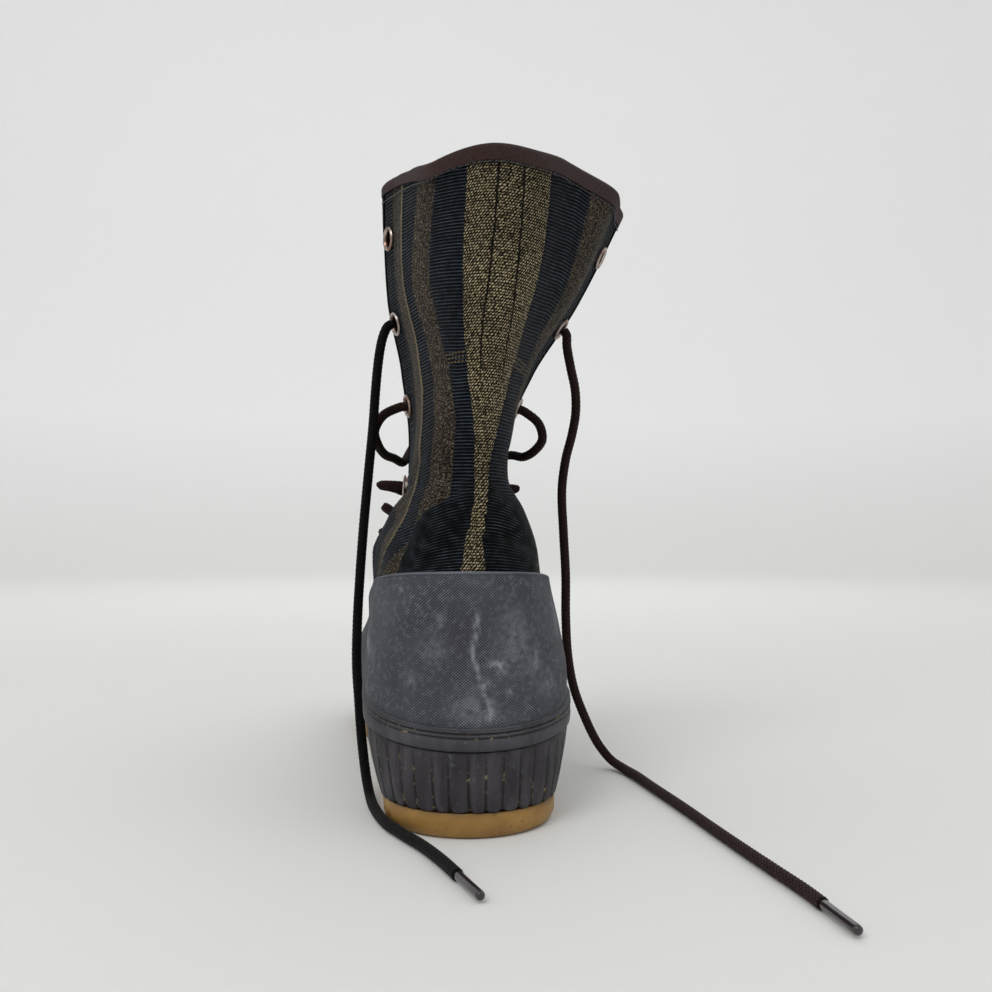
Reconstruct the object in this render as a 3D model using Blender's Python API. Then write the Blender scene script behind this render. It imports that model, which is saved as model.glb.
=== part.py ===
"""Duck boot for the right foot: gum outsole, ribbed foxing, rubber counter and vamp, woven shaft.

The boot stands on its sole. +Z is up, the toe points to -Y, the inner (medial) side is +X and
the outer (lateral) side is -X. The origin is under the middle of the heel, on the floor.
Lengths in the tables are millimetres of the base pattern; the four driving sizes grade them.
"""
import math
from collections import namedtuple

import bmesh
import bpy
import numpy as np

# ---------------------------------------------------------------- driving sizes (mm)
SOLE_LENGTH = 292.0        # heel back to toe tip over the foxing
BALL_WIDTH = 96.0          # over the foxing at the ball
BOOT_HEIGHT = 257.0        # floor to the back of the collar
HEEL_HEIGHT = 9.0          # wedge of the insole under the heel
BALL_HEIGHT = 4.0          # thickness of the insole under the ball
BASE_LENGTH, BASE_WIDTH, BASE_HEIGHT = 292.0, 96.0, 257.0

HEEL_BACK_Y = 42.0         # the back of the heel lies this far behind the origin
WALL = 2.4                 # woven shaft, interlining and lining together
GAP = 0.3                  # clearance between pieces that touch
OVERLAY_GAP = 0.9          # clearance under the curved rubber overlays
TONGUE_GAP = 0.9           # clearance between tongue and facings
OUTSOLE_TOP = 9.5          # height of the gum edge at the heel
GUM_ROUND = 3.4            # radius of the rounded edge of the outsole
GUM_WALL = 0.45            # upright share of the outsole's edge, above its rounding
GUM_OUTSET = 2.9           # the outsole's edge stands this far outside the upper's feather edge
ARCH_RISE = 3.0            # hollow under the waist of the sole
TOE_SPRING = 12.0          # lift of the toe tip
SPRING_START = 216.0       # the sole leaves the floor here
LUG_PITCH, LUG_GROOVE, LUG_DEPTH = 11.0, 3.0, 2.6
HEEL_LUG, BALL_LUG = 42.0, 205.0   # s of the lugs in the middle of the heel and of the forefoot

RUBBER_THICK = 2.0         # counter and vamp
FOXING_THICK = 3.2
BAND_THICK = 4.0
TONGUE_THICK = 1.8
BINDING_THICK = 0.9
BINDING_DROP = 0.14        # the binding's height as a share of the girth step below the collar

EYELET_INSET = 10.5        # from the facing edge to the eyelet's centre
EYELET_FLANGE, EYELET_BARREL, EYELET_BORE = 10.4, 8.0, 6.8   # diameters
EYELET_HOLE = EYELET_BARREL + 2 * GAP
EYELET_ROLL = 0.8          # height of the rolled flange
FLANGE_CLEAR = 1.0         # clearance under the flange, over the most prominent skin
LACE_DIAMETER = 4.2
AGLET_LENGTH, AGLET_DIAMETER = 20.0, 3.2

COLUMNS = 40               # points round a closed girth of the boot
TONGUE_HALF = 5            # columns of points on each side of the tongue's middle
EYELET_SIDES, LACE_SIDES, AGLET_SIDES = 8, 6, 8

MILLIMETRE = 0.001

# ---------------------------------------------------------------- the last
# One row for each girth, from the feather edge up to the collar. "s" runs forward from the back of
# the heel. The half widths are taken at the heel, waist and ball stations of that girth, and "mid"
# is how far its centre line lies to the inner side there. The caps are the lengths of the round ends.
Girth = namedtuple("Girth", "name back_s back_z side_z front_s front_z "
                            "heel_half waist_half ball_half "
                            "heel_mid waist_mid ball_mid tip_mid heel_cap toe_cap")
GIRTHS = [
    Girth("feather", 4.0, 9.8, 9.8, 281.0, 9.8,
          30.6, 29.8, 40.5, -1.2, -2.5, -2.5, 5.0, 31.0, 64.0),
    Girth("roll", 3.3, 20.0, 20.0, 285.0, 20.0,
          33.6, 32.5, 42.5, -1.1, -2.5, -2.5, 5.0, 34.0, 66.0),
    Girth("band", 3.0, 38.0, 41.0, 286.5, 32.0,
          37.2, 35.5, 43.5, -1.0, -2.5, -2.5, 5.0, 38.0, 66.0),
    Girth("cheek", 2.6, 56.0, 54.0, 281.0, 46.0,
          37.4, 35.0, 40.5, -0.6, -2.0, -2.5, 4.5, 38.0, 64.0),
    Girth("toe_top", 4.2, 74.0, 70.0, 261.0, 56.0,
          35.4, 34.4, 36.0, 0.2, -1.0, -2.0, 3.5, 37.0, 66.0),
    Girth("vamp", 7.5, 92.0, 87.0, 225.0, 65.0,
          32.6, 34.2, 33.0, 1.2, 1.2, -0.2, 2.0, 36.0, 70.0),
    Girth("throat", 10.5, 107.0, 102.0, 188.0, 82.0,
          30.6, 34.0, 32.5, 1.1, 2.2, 1.2, 1.0, 34.0, 60.0),
    Girth("instep", 12.5, 121.0, 117.0, 157.0, 104.0,
          25.2, 28.6, 27.2, 0.6, 1.4, 1.2, 0.0, 33.0, 36.0),
    Girth("ankle", 13.0, 135.0, 134.0, 134.0, 129.0,
          18.2, 19.4, 19.2, 0.8, 1.2, 0.8, -0.5, 33.0, 32.0),
    Girth("low_shaft", 12.0, 155.0, 155.0, 122.0, 153.0,
          18.4, 20.3, 20.6, -1.4, -2.0, -2.2, -2.5, 38.0, 32.0),
    Girth("mid_shaft", 9.5, 184.0, 183.0, 115.0, 181.0,
          22.0, 25.4, 26.2, -4.6, -5.8, -6.2, -6.5, 52.0, 30.0),
    Girth("top_shaft", 6.5, 216.0, 214.0, 109.0, 212.0,
          33.0, 38.4, 38.8, -8.5, -12.3, -12.6, -12.6, 64.0, 28.0),
    Girth("collar", 3.5, 255.5, 252.5, 102.0, 256.0,
          44.6, 50.4, 50.4, -12.0, -21.0, -21.5, -21.5, 84.0, 24.0),
]
NAMES = [girth.name for girth in GIRTHS]
THROAT, ANKLE, COLLAR = (NAMES.index(name) for name in ("throat", "ankle", "collar"))
HEEL_AT, WAIST_AT, BALL_AT = 0.15, 0.45, 0.72     # stations as fractions of a girth's length

# The front edge of each facing: where it cuts the girths above the throat. "turn" is the fraction of
# the way round from the back of the boot to the middle of its front.
Facing = namedtuple("Facing", "girth turn")
FACINGS = [
    Facing("throat", 1.0),
    Facing("instep", 0.81),
    Facing("ankle", 0.755),
    Facing("low_shaft", 0.725),
    Facing("mid_shaft", 0.70),
    Facing("top_shaft", 0.69),
    Facing("collar", 0.68),
]

FACING_FLARE = 3.4         # the slack facings curl out this far at their front edges
FLARE_REACH = 0.13         # turn over which they do
# The slack collar wanders above and below its girth, and stands highest at its inner front corner.
COLLAR_TURNS = [-1.0, -0.6, -0.32, -0.1, 0.06, 0.26, 0.42, 0.6, 1.0]
COLLAR_RISES = [0.0, 0.0, 1.0, -1.9, -0.9, -1.8, 3.9, 8.5, 0.0]

# Heights of the rubber lines above the sole's own top line, at distances forward of the heel.
RubberLine = namedtuple("RubberLine", "s foxing_top band_top rubber_top")
RUBBER_LINES = [
    RubberLine(0.0, 31.0, 39.2, 97.0),
    RubberLine(20.0, 34.3, 43.2, 95.5),
    RubberLine(50.0, 38.5, 50.0, 90.5),
    RubberLine(90.0, 36.5, 47.0, 80.0),
    RubberLine(130.0, 29.5, 38.5, 71.0),
    RubberLine(160.0, 25.5, 33.0, 72.0),
    RubberLine(188.0, 24.0, 31.0, 80.0),
    RubberLine(215.0, 24.5, 31.5, 96.0),
    RubberLine(292.0, 27.0, 34.5, 110.0),
]
COUNTER_END = 0.50         # turn of the seam between counter and vamp
COUNTER_SEAM = 0.004       # its width, as turn

# Eyelets from the top of the facing down, by the girth number on which they sit.
EYELET_LEVELS = [11.53, 10.69, 9.50, 8.05, 7.44, 6.96, 6.52]


# ---------------------------------------------------------------- small mathematics
def steady_slopes(xs, ys):
    """Slopes of a curve through the points that never swings past them."""
    steps = [(ys[i + 1] - ys[i]) / (xs[i + 1] - xs[i]) for i in range(len(xs) - 1)]
    slopes = [steps[0]]
    for before, after in zip(steps, steps[1:]):
        slopes.append(0.0 if before * after <= 0 else 2 * before * after / (before + after))
    slopes.append(steps[-1])
    return slopes


def smooth(x, xs, ys):
    """Value at x of the steady curve through the points, straight beyond its ends."""
    slopes = steady_slopes(xs, ys)
    if x <= xs[0]:
        return ys[0]
    if x >= xs[-1]:
        return ys[-1] + slopes[-1] * (x - xs[-1])
    i = max(k for k in range(len(xs) - 1) if xs[k] <= x)
    width = xs[i + 1] - xs[i]
    t = (x - xs[i]) / width
    start = ys[i] * (1 + 2 * t) * (1 - t) ** 2 + slopes[i] * width * t * (1 - t) ** 2
    end = ys[i + 1] * t * t * (3 - 2 * t) + slopes[i + 1] * width * t * t * (t - 1)
    return start + end


def graded_table():
    """The girth table graded by the driving sizes, as one list for each column."""
    length, width, height = SOLE_LENGTH / BASE_LENGTH, BALL_WIDTH / BASE_WIDTH, BOOT_HEIGHT / BASE_HEIGHT
    scales = {"s": length, "cap": length, "z": height, "half": width, "mid": width}
    columns = {}
    for field in Girth._fields[1:]:
        scale = scales[field.split("_")[1]]
        columns[field] = [getattr(girth, field) * scale for girth in GIRTHS]
    return columns


TABLE = graded_table()
LEVELS = list(range(len(GIRTHS)))


def girth_at(level):
    """Every column of the girth table at a level between its rows."""
    return {field: smooth(level, LEVELS, values) for field, values in TABLE.items()}


def toe_spring(s):
    """Lift of the sole and all that stands on it towards the toe."""
    reach = max(0.0, (s - SPRING_START) / (SOLE_LENGTH - SPRING_START))
    return TOE_SPRING * reach ** 1.8


def facing_turn(level):
    """The turn of the facing's front edge at a level above the throat."""
    if level <= THROAT:
        return 1.0
    return smooth(level, [NAMES.index(row.girth) for row in FACINGS], [row.turn for row in FACINGS])


def facing_flare(turn, level):
    """How far the shaft stands out sideways near a facing's front edge."""
    near = max(0.0, 1 - ((turn - facing_turn(level)) / FLARE_REACH) ** 2)
    height = min(1.0, max(0.0, (level - ANKLE) / 2))
    return FACING_FLARE * height * near * near


def last_point(turn, level):
    """A point of the upper's outer face, in mm.

    turn runs from -1 round the outer side to 0 at the back and on round the inner side to 1, where
    it meets -1 at the middle of the front. level is the number of the girth, from 0 at the feather.
    """
    row = girth_at(level)
    side = 1.0 if turn >= 0 else -1.0
    share = (1 - math.cos(math.pi * abs(turn))) / 2
    length = row["front_s"] - row["back_s"]
    s = share * length
    stations = [0.0, HEEL_AT, WAIST_AT, BALL_AT, 1.0]
    half = smooth(share, stations,
                  [row["heel_half"], row["heel_half"], row["waist_half"], row["ball_half"],
                   row["ball_half"]])
    heel_cap = row["heel_cap"]
    toe_cap = min(row["toe_cap"], length - heel_cap)
    if s < heel_cap:
        half *= math.sqrt(max(0.0, 1 - (1 - s / heel_cap) ** 2))
    if length - s < toe_cap:
        half *= math.sqrt(max(0.0, 1 - (1 - (length - s) / toe_cap) ** 2))
    mid = smooth(share, stations,
                 [row["heel_mid"], row["heel_mid"], row["waist_mid"], row["ball_mid"], row["tip_mid"]])
    z = smooth(share, [0.0, WAIST_AT, 1.0], [row["back_z"], row["side_z"], row["front_z"]])
    s += row["back_s"]
    half += facing_flare(abs(turn), level)
    z += smooth(turn, COLLAR_TURNS, COLLAR_RISES) * max(0.0, level - COLLAR + 1)
    return np.array([mid + side * half, HEEL_BACK_Y - s, z + toe_spring(s)])


def wrap(turn):
    """The same place round the boot with turn between -1 and 1."""
    return (turn + 1) % 2 - 1


def last_normal(turn, level):
    """Unit vector that points out of the upper there."""
    step = 0.01
    across = last_point(wrap(turn + step), level) - last_point(wrap(turn - step), level)
    low, high = max(0.0, level - 0.05), level + 0.05
    up = last_point(turn, high) - last_point(turn, low)
    normal = np.cross(up, across)
    return normal / np.linalg.norm(normal)


def skin_point(turn, level, offset=0.0):
    """A point that stands off the upper's outer face by offset mm."""
    return last_point(turn, level) + offset * last_normal(turn, level)


def foot_s(point):
    """Distance forward of the heel's back."""
    return HEEL_BACK_Y - point[1]


def rubber_line(field):
    """The height of one rubber line as a function of s."""
    places = [line.s for line in RUBBER_LINES]
    heights = [getattr(line, field) for line in RUBBER_LINES]
    return lambda s: smooth(s, places, heights) + toe_spring(s)


def level_at(turn, line, offset=0.0, highest=THROAT - 0.12):
    """The level where the column of points at this turn crosses a rubber line."""
    low, high = 0.0, highest
    for _ in range(22):
        middle = (low + high) / 2
        point = skin_point(turn, middle, offset)
        if point[2] < line(foot_s(point)):
            low = middle
        else:
            high = middle
    return (low + high) / 2


def eyelet_turn(level):
    """The turn at which an eyelet sits behind the facing's edge, on the inner side."""
    edge = facing_turn(level)
    front = last_point(edge, level)
    low, high = edge - 0.25, edge
    for _ in range(20):
        middle = (low + high) / 2
        if np.linalg.norm(last_point(middle, level) - front) > EYELET_INSET:
            low = middle
        else:
            high = middle
    return (low + high) / 2


def frame_on_skin(turn, level):
    """Origin on the upper's outer face and three axes there: forward, upward and outward."""
    outward = last_normal(turn, level)
    upward = np.array([0.0, 0.0, 1.0]) - outward[2] * outward
    upward /= np.linalg.norm(upward)
    return last_point(turn, level), np.cross(upward, outward), upward, outward


# ---------------------------------------------------------------- mesh helpers
def clear_scene():
    """Remove every object that the file opened with."""
    for item in list(bpy.data.objects):
        bpy.data.objects.remove(item, do_unlink=True)


def material(name, colour, roughness, metallic=0.0):
    """A Principled material with one plain finish."""
    made = bpy.data.materials.new(name)
    made.use_nodes = True
    shader = made.node_tree.nodes["Principled BSDF"]
    shader.inputs["Base Color"].default_value = (*colour, 1.0)
    shader.inputs["Roughness"].default_value = roughness
    shader.inputs["Metallic"].default_value = metallic
    return made


def solid(name, points, faces, finish):
    """A closed mesh object from points in mm, with its faces turned outwards."""
    mesh = bpy.data.meshes.new(name)
    mesh.from_pydata([tuple(float(c) * MILLIMETRE for c in point) for point in points], [], faces)
    work = bmesh.new()
    work.from_mesh(mesh)
    bmesh.ops.triangulate(work, faces=work.faces[:])
    bmesh.ops.recalc_face_normals(work, faces=work.faces[:])
    work.to_mesh(mesh)
    work.free()
    mesh.shade_smooth()
    mesh.set_sharp_from_angle(angle=math.radians(35))
    made = bpy.data.objects.new(name, mesh)
    bpy.context.scene.collection.objects.link(made)
    made.data.materials.append(finish)
    return made


def ring_faces(rows, columns):
    """Quads between rings of points, the last ring joined to the first."""
    faces = []
    for row in range(rows):
        for column in range(columns):
            after = (column + 1) % columns
            here, above = row * columns, ((row + 1) % rows) * columns
            faces.append((here + column, here + after, above + after, above + column))
    return faces


def girth_turns(count=COLUMNS):
    """Turns of the columns of points round a closed girth."""
    return [wrap(2 * k / count) for k in range(count)]


def ring_solid(name, rings, finish):
    """A solid swept round the boot: each ring is one corner of its section, taken in order."""
    points = [point for ring in rings for point in ring]
    return solid(name, points, ring_faces(len(rings), len(rings[0])), finish)


def patch_solid(name, grid_out, grid_in, finish):
    """A closed sheet of some thickness from its outer and inner grids of points."""
    rows, columns = len(grid_out), len(grid_out[0])
    points = [point for row in grid_out for point in row] + [point for row in grid_in for point in row]
    inner = rows * columns
    faces = []
    for r in range(rows - 1):
        for c in range(columns - 1):
            a, b = r * columns + c, (r + 1) * columns + c
            faces.append((a, a + 1, b + 1, b))
            faces.append((inner + a, inner + b, inner + b + 1, inner + a + 1))
    for c in range(columns - 1):
        top = (rows - 1) * columns + c
        faces.append((c, inner + c, inner + c + 1, c + 1))
        faces.append((top, top + 1, inner + top + 1, inner + top))
    for r in range(rows - 1):
        left, right = r * columns, r * columns + columns - 1
        faces.append((left, left + columns, inner + left + columns, inner + left))
        faces.append((right, inner + right, inner + right + columns, right + columns))
    return solid(name, points, faces, finish)


def cut(target, cutter):
    """Cut one solid from another and leave the cutter as a hidden guide."""
    cutter.hide_render = True
    cutter.display_type = "WIRE"
    boolean = target.modifiers.new("cut", "BOOLEAN")
    boolean.operation = "DIFFERENCE"
    boolean.solver = "EXACT"
    boolean.object = cutter


# ---------------------------------------------------------------- sole
def sole_floor(s):
    """Height of the outsole's underside: flat at heel and ball, hollow at the waist."""
    hollow = smooth(s, [0.0, 84.0, 104.0, 146.0, 166.0, 400.0],
                    [0.0, 0.0, ARCH_RISE, ARCH_RISE, 0.0, 0.0])
    return hollow + toe_spring(s)


def gum_ring(outset, drop):
    """A ring of the outsole's edge: drop is 0 at its top line and 1 on its underside."""
    ring = []
    for turn in girth_turns():
        point = last_point(turn, 0.0)
        normal = last_normal(turn, 0.0)
        flat = np.array([normal[0], normal[1], 0.0])
        point = point + outset * flat / np.linalg.norm(flat)
        s = foot_s(point)
        top, floor = OUTSOLE_TOP + toe_spring(s), sole_floor(s)
        ring.append(np.array([point[0], point[1], top + (floor - top) * drop]))
    return ring


def strip_cap(start, count, flip):
    """Faces that close a girth ring with strips across the boot."""
    faces = []
    half = count // 2
    for k in range(half):
        left, right = start + k, start + (count - k) % count
        left_next, right_next = start + k + 1, start + (count - k - 1) % count
        corners = [left, left_next, right_next, right]
        face = tuple(dict.fromkeys(corners[::-1] if flip else corners))
        faces.append(face)
    return faces


def stacked_solid(name, rings, finish):
    """A solid of stacked girth rings, closed by strips across its bottom and top."""
    count = len(rings[0])
    points = [point for ring in rings for point in ring]
    faces = []
    for row in range(len(rings) - 1):
        for k in range(count):
            after = (k + 1) % count
            here, above = row * count, (row + 1) * count
            faces.append((here + k, here + after, above + after, above + k))
    faces += strip_cap(0, count, True)
    faces += strip_cap((len(rings) - 1) * count, count, False)
    return solid(name, points, faces, finish)


def lug_cutter(finish):
    """Bars that cut the grooves between the lugs of heel and forefoot."""
    heel_grooves = [HEEL_LUG + LUG_PITCH * (k + 0.5) for k in range(-2, 3)]
    ball_grooves = [BALL_LUG + LUG_PITCH * (k + 0.5) for k in range(-3, 2)]
    points, faces = [], []
    for s in heel_grooves + ball_grooves:
        first = len(points)
        for z in (-2.0, LUG_DEPTH):
            for y, x in ((-1, -1), (1, -1), (1, 1), (-1, 1)):
                points.append((x * BALL_WIDTH, HEEL_BACK_Y - s + y * LUG_GROOVE / 2, z))
        faces += [(first, first + 1, first + 2, first + 3), (first + 4, first + 7, first + 6, first + 5)]
        for k in range(4):
            after = (k + 1) % 4
            faces.append((first + k, first + k + 4, first + after + 4, first + after))
    return solid("lug_cutter", points, faces, finish)


def build_outsole(finish):
    """Gum outsole with a rounded edge, an arch, toe spring and lugs across heel and ball."""
    rings = []
    for angle in (90.0, 62.0, 38.0, 16.0, 0.0):
        inward = GUM_ROUND * (1 - math.cos(math.radians(angle)))
        drop = GUM_WALL + (1 - GUM_WALL) * math.sin(math.radians(angle))
        rings.append(gum_ring(GUM_OUTSET - inward, drop))
    rings.append(gum_ring(GUM_OUTSET, 0.0))
    outsole = stacked_solid("outsole", rings, finish)
    cut(outsole, lug_cutter(finish))
    return outsole


def build_insole(finish):
    """Wedge footbed that fills the bottom of the upper from heel to toe."""
    inward = -(WALL + 2 * GAP)
    floor, top = [], []
    for turn in girth_turns():
        base = skin_point(turn, 0.0, inward)
        s = foot_s(base)
        height = smooth(s, [0.0, 70.0, 190.0, 292.0], [HEEL_HEIGHT, HEEL_HEIGHT, BALL_HEIGHT, BALL_HEIGHT])
        floor.append(np.array([base[0], base[1], OUTSOLE_TOP + GAP + toe_spring(s)]))
        top.append(np.array([base[0], base[1], OUTSOLE_TOP + GAP + height + toe_spring(s)]))
    return stacked_solid("insole", [floor, top], finish)


# ---------------------------------------------------------------- upper and tongue
def build_upper(finish):
    """The woven upper: one wall, open under the foot, down the throat and at the collar."""
    count = COLUMNS
    closed = [0.0, 0.5, 1.1, 1.8, 2.5, 3.2, 4.0, 4.8, 5.4, 6.0]
    opened = [6.5, 7.0, 7.5, 8.0, 8.7, 9.5, 10.6, COLLAR - BINDING_DROP, COLLAR]
    points, index = [], {}

    def place(row, column, level, side, offset):
        """Number of the point, made once: the two front columns are one below the throat."""
        shared = column % count if level <= THROAT else column
        key = (row, shared, side)
        if key not in index:
            index[key] = len(points)
            turn = (2 * shared / count - 1) * facing_turn(level)
            points.append(skin_point(turn, level, offset))
        return index[key]

    levels = closed + opened
    faces = []
    for row in range(len(levels) - 1):
        for column in range(count):
            for side, offset in ((0, 0.0), (1, -WALL)):
                corners = [place(row, column, levels[row], side, offset),
                           place(row, column + 1, levels[row], side, offset),
                           place(row + 1, column + 1, levels[row + 1], side, offset),
                           place(row + 1, column, levels[row + 1], side, offset)]
                faces.append(tuple(corners[::-1] if side else corners))
    top = len(levels) - 1
    for column in range(count):
        for row, flip in ((0, True), (top, False)):
            level = levels[row]
            rim = [place(row, column, level, 0, 0.0), place(row, column + 1, level, 0, 0.0),
                   place(row, column + 1, level, 1, -WALL), place(row, column, level, 1, -WALL)]
            faces.append(tuple(rim[::-1] if flip else rim))
    for row in range(len(closed) - 1, top):
        low, high = levels[row], levels[row + 1]
        for column, flip in ((0, False), (count, True)):
            edge = [place(row, column, low, 0, 0.0), place(row + 1, column, high, 0, 0.0),
                    place(row + 1, column, high, 1, -WALL), place(row, column, low, 1, -WALL)]
            faces.append(tuple(edge[::-1] if flip else edge))
    return solid("upper", points, faces, finish)


def build_tongue(finish):
    """Full-bellows tongue: it spans the throat behind the facings and stands above the collar."""
    levels = [5.2, 5.6, 6.0, 6.5, 7.0, 7.5, 8.0, 8.7, 9.5, 10.6, 11.8]
    outer, inner = [], []
    for level in levels:
        clear_of_binding = (BINDING_THICK + GAP) * max(0.0, min(1.0, (level - COLLAR + 0.9) / 0.6))
        behind = -(WALL + TONGUE_GAP + clear_of_binding)
        reach = (1 - facing_turn(level)) + 0.055
        if level < THROAT:
            reach = 0.10 - 0.04 * (THROAT - level)
        turns = [1 + reach * k / TONGUE_HALF for k in range(-TONGUE_HALF, TONGUE_HALF + 1)]
        outer.append([skin_point(wrap(turn), level, behind) for turn in turns])
        inner.append([skin_point(wrap(turn), level, behind - TONGUE_THICK) for turn in turns])
    return patch_solid("tongue", outer, inner, finish)


# ---------------------------------------------------------------- rubber overlays
def foot_of_ring(turn, offset):
    """A point beside the feather edge, just above the top of the outsole."""
    point = skin_point(turn, 0.0, offset)
    point[2] = OUTSOLE_TOP + GAP + toe_spring(foot_s(point))
    return point


def overlay_ring(name, low_line, high_line, thickness, shares, finish):
    """A rubber strip right round the boot between two lines, standing off the upper.

    shares are the heights of its rows of points, from 0 at the low line to 1 at the high one.
    """
    outer, inner = [[] for _ in shares], [[] for _ in shares]
    for turn in girth_turns():
        low = 0.0 if low_line is None else level_at(turn, low_line)
        high = level_at(turn, high_line)
        for k, share in enumerate(shares):
            level = low + (high - low) * share
            lift = np.array([0.0, 0.0, GAP * (1 - share)])
            for ring, offset in ((outer[k], GAP + thickness), (inner[k], OVERLAY_GAP)):
                seated = share == 0 and low_line is None
                corner = foot_of_ring(turn, offset) if seated else skin_point(turn, level, offset) + lift
                ring.append(corner)
    return ring_solid(name, outer + inner[::-1], finish)


def overlay_patch(name, turns, low_line, high_line, finish, rows=7):
    """A rubber overlay cut from the upper's own form between two lines."""
    outer, inner = [], []
    lows = [level_at(turn, low_line) for turn in turns]
    highs = [level_at(turn, high_line) for turn in turns]
    for k in range(rows):
        share = k / (rows - 1)
        levels = [low + (high - low) * share for low, high in zip(lows, highs)]
        lift = np.array([0.0, 0.0, 2 * GAP * (1 - share)])
        outer.append([skin_point(t, v, OVERLAY_GAP + RUBBER_THICK) + lift for t, v in zip(turns, levels)])
        inner.append([skin_point(t, v, OVERLAY_GAP) + lift for t, v in zip(turns, levels)])
    return patch_solid(name, outer, inner, finish)


def build_rubber(finish_counter, finish_vamp, finish_foxing):
    """Foxing, rim band, heel counter and vamp."""
    foxing_top, band_top, rubber_top = (rubber_line(f) for f in ("foxing_top", "band_top", "rubber_top"))
    overlay_ring("foxing", None, foxing_top, FOXING_THICK, (0.0, 0.33, 0.67, 1.0), finish_foxing)
    overlay_ring("rim_band", foxing_top, band_top, BAND_THICK, (0.0, 0.5, 1.0), finish_foxing)
    step = 2 / COLUMNS
    seam = round(COUNTER_END / step)
    heel_turns = [k * step for k in range(-seam, seam + 1)]
    overlay_patch("rubber_counter", heel_turns, band_top, rubber_top, finish_counter)
    start = COUNTER_END + COUNTER_SEAM
    toe_turns = [start] + [wrap(k * step) for k in range(seam + 1, COLUMNS - seam)] + [-start]
    overlay_patch("rubber_vamp", toe_turns, band_top, rubber_top, finish_vamp)


# ---------------------------------------------------------------- binding and eyelets
def build_binding(finish):
    """Twill tape folded over the collar's edge, from one facing round the back to the other."""
    edge = facing_turn(COLLAR)
    low, over = COLLAR - BINDING_DROP, np.array([0.0, 0.0, GAP])
    thick = np.array([0.0, 0.0, BINDING_THICK])
    outside, inside = GAP, -(WALL + GAP)
    points, count = [], COLUMNS + 1
    for column in range(count):
        turn = (2 * column / COLUMNS - 1) * edge
        corners = [skin_point(turn, low, outside), skin_point(turn, low, outside + BINDING_THICK),
                   skin_point(turn, COLLAR, outside + BINDING_THICK / 2) + over + thick,
                   skin_point(turn, COLLAR, inside - BINDING_THICK / 2) + over + thick,
                   skin_point(turn, low, inside - BINDING_THICK), skin_point(turn, low, inside),
                   skin_point(turn, COLLAR, inside) + over, skin_point(turn, COLLAR, outside) + over]
        points += corners
    ring = len(points) // count
    faces = [tuple(range(ring)), tuple(len(points) - 1 - k for k in range(ring))]
    for column in range(count - 1):
        for k in range(ring):
            after = (k + 1) % ring
            here, there = column * ring, (column + 1) * ring
            faces.append((here + k, here + after, there + after, there + k))
    return solid("collar_binding", points, faces, finish)


def seat_height(turn, level):
    """How high a flat flange has to sit to clear the curved skin beneath it."""
    origin, outward = last_point(turn, level), last_normal(turn, level)
    highest = 0.0
    for across in (-0.05, -0.035, -0.02, 0.0, 0.02, 0.035, 0.05):
        for up in (-0.5, -0.35, -0.2, 0.0, 0.2, 0.35, 0.5):
            away = last_point(turn + across, level + up) - origin
            height = float(np.dot(away, outward))
            if np.linalg.norm(away - height * outward) < 0.65 * EYELET_FLANGE:
                highest = max(highest, height)
    return highest + FLANGE_CLEAR


def turned_points(place, profile, segments):
    """Rings of points turned about the outward axis of a place on the skin."""
    origin, forward, upward, outward = place
    points = []
    for radius, height in profile:
        for k in range(segments):
            angle = 2 * math.pi * k / segments
            across = math.cos(angle) * forward + math.sin(angle) * upward
            points.append(origin + radius * across + height * outward)
    return points


def build_eyelets(upper, finish):
    """Fourteen rolled eyelets, and the holes that their barrels pass through."""
    hole_points, hole_faces = [], []
    for number, level in enumerate(EYELET_LEVELS, start=1):
        for side, sign in (("m", 1), ("l", -1)):
            turn = sign * eyelet_turn(level)
            place = frame_on_skin(turn, level)
            seat = seat_height(turn, level)
            profile = [(EYELET_BORE / 2, -WALL), (EYELET_BARREL / 2, -WALL),
                       (EYELET_BARREL / 2, seat), (EYELET_FLANGE / 2, seat),
                       (EYELET_BORE / 2 + GAP, seat + EYELET_ROLL)]
            points = turned_points(place, profile, EYELET_SIDES)
            solid(f"eyelet_{side}{number}", points, ring_faces(len(profile), EYELET_SIDES), finish)
            first = len(hole_points)
            sides, radius = EYELET_SIDES, EYELET_HOLE / 2
            hole_points += turned_points(place, [(radius, -3 * WALL), (radius, 2 * WALL)], sides)
            hole_faces.append(tuple(first + k for k in range(sides)))
            hole_faces.append(tuple(first + 2 * sides - 1 - k for k in range(sides)))
            for k in range(sides):
                after = (k + 1) % sides
                hole_faces.append((first + k, first + sides + k, first + sides + after, first + after))
    cut(upper, solid("eyelet_holes", hole_points, hole_faces, finish))


# ---------------------------------------------------------------- lace
# How each crossing hangs: bulge is how far it stands out sideways beside its eyelet, the sags are how
# many girths it hangs down on each side before it crosses, edge is how far it lies off the facing's edge, and
# lift how far off the throat.
Slack = namedtuple("Slack", "eyelet bulge inner_sag outer_sag edge lift")
SLACKS = [
    Slack(3, 12.0, 0.84, 0.70, 4.2, 10.5),
    Slack(4, 8.0, 0.10, 0.10, 4.8, 3.8),
    Slack(5, 4.0, 0.04, 0.04, 7.2, 6.2),
    Slack(6, 2.5, 0.0, 0.0, 5.8, 4.8),
    Slack(7, 1.5, 0.0, 0.0, 5.4, 4.4),
]
LACE_RISE = 3.2            # an arm starts in the mouth of its eyelet and leaves it straight for this far
ARM_STOP = 0.80            # share of the way across at which an arm stops short of the far facing
ARM_POINTS = 13
SAG_POWER = 1.3            # how late a hanging arm rises to the far facing
LOOP_DROPS = [1.12, 1.02]  # sags that an inner and an outer arm have come down by at the facing's edge
CURVE_STEPS = 12           # points worked out between two hand-chosen ones


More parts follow.
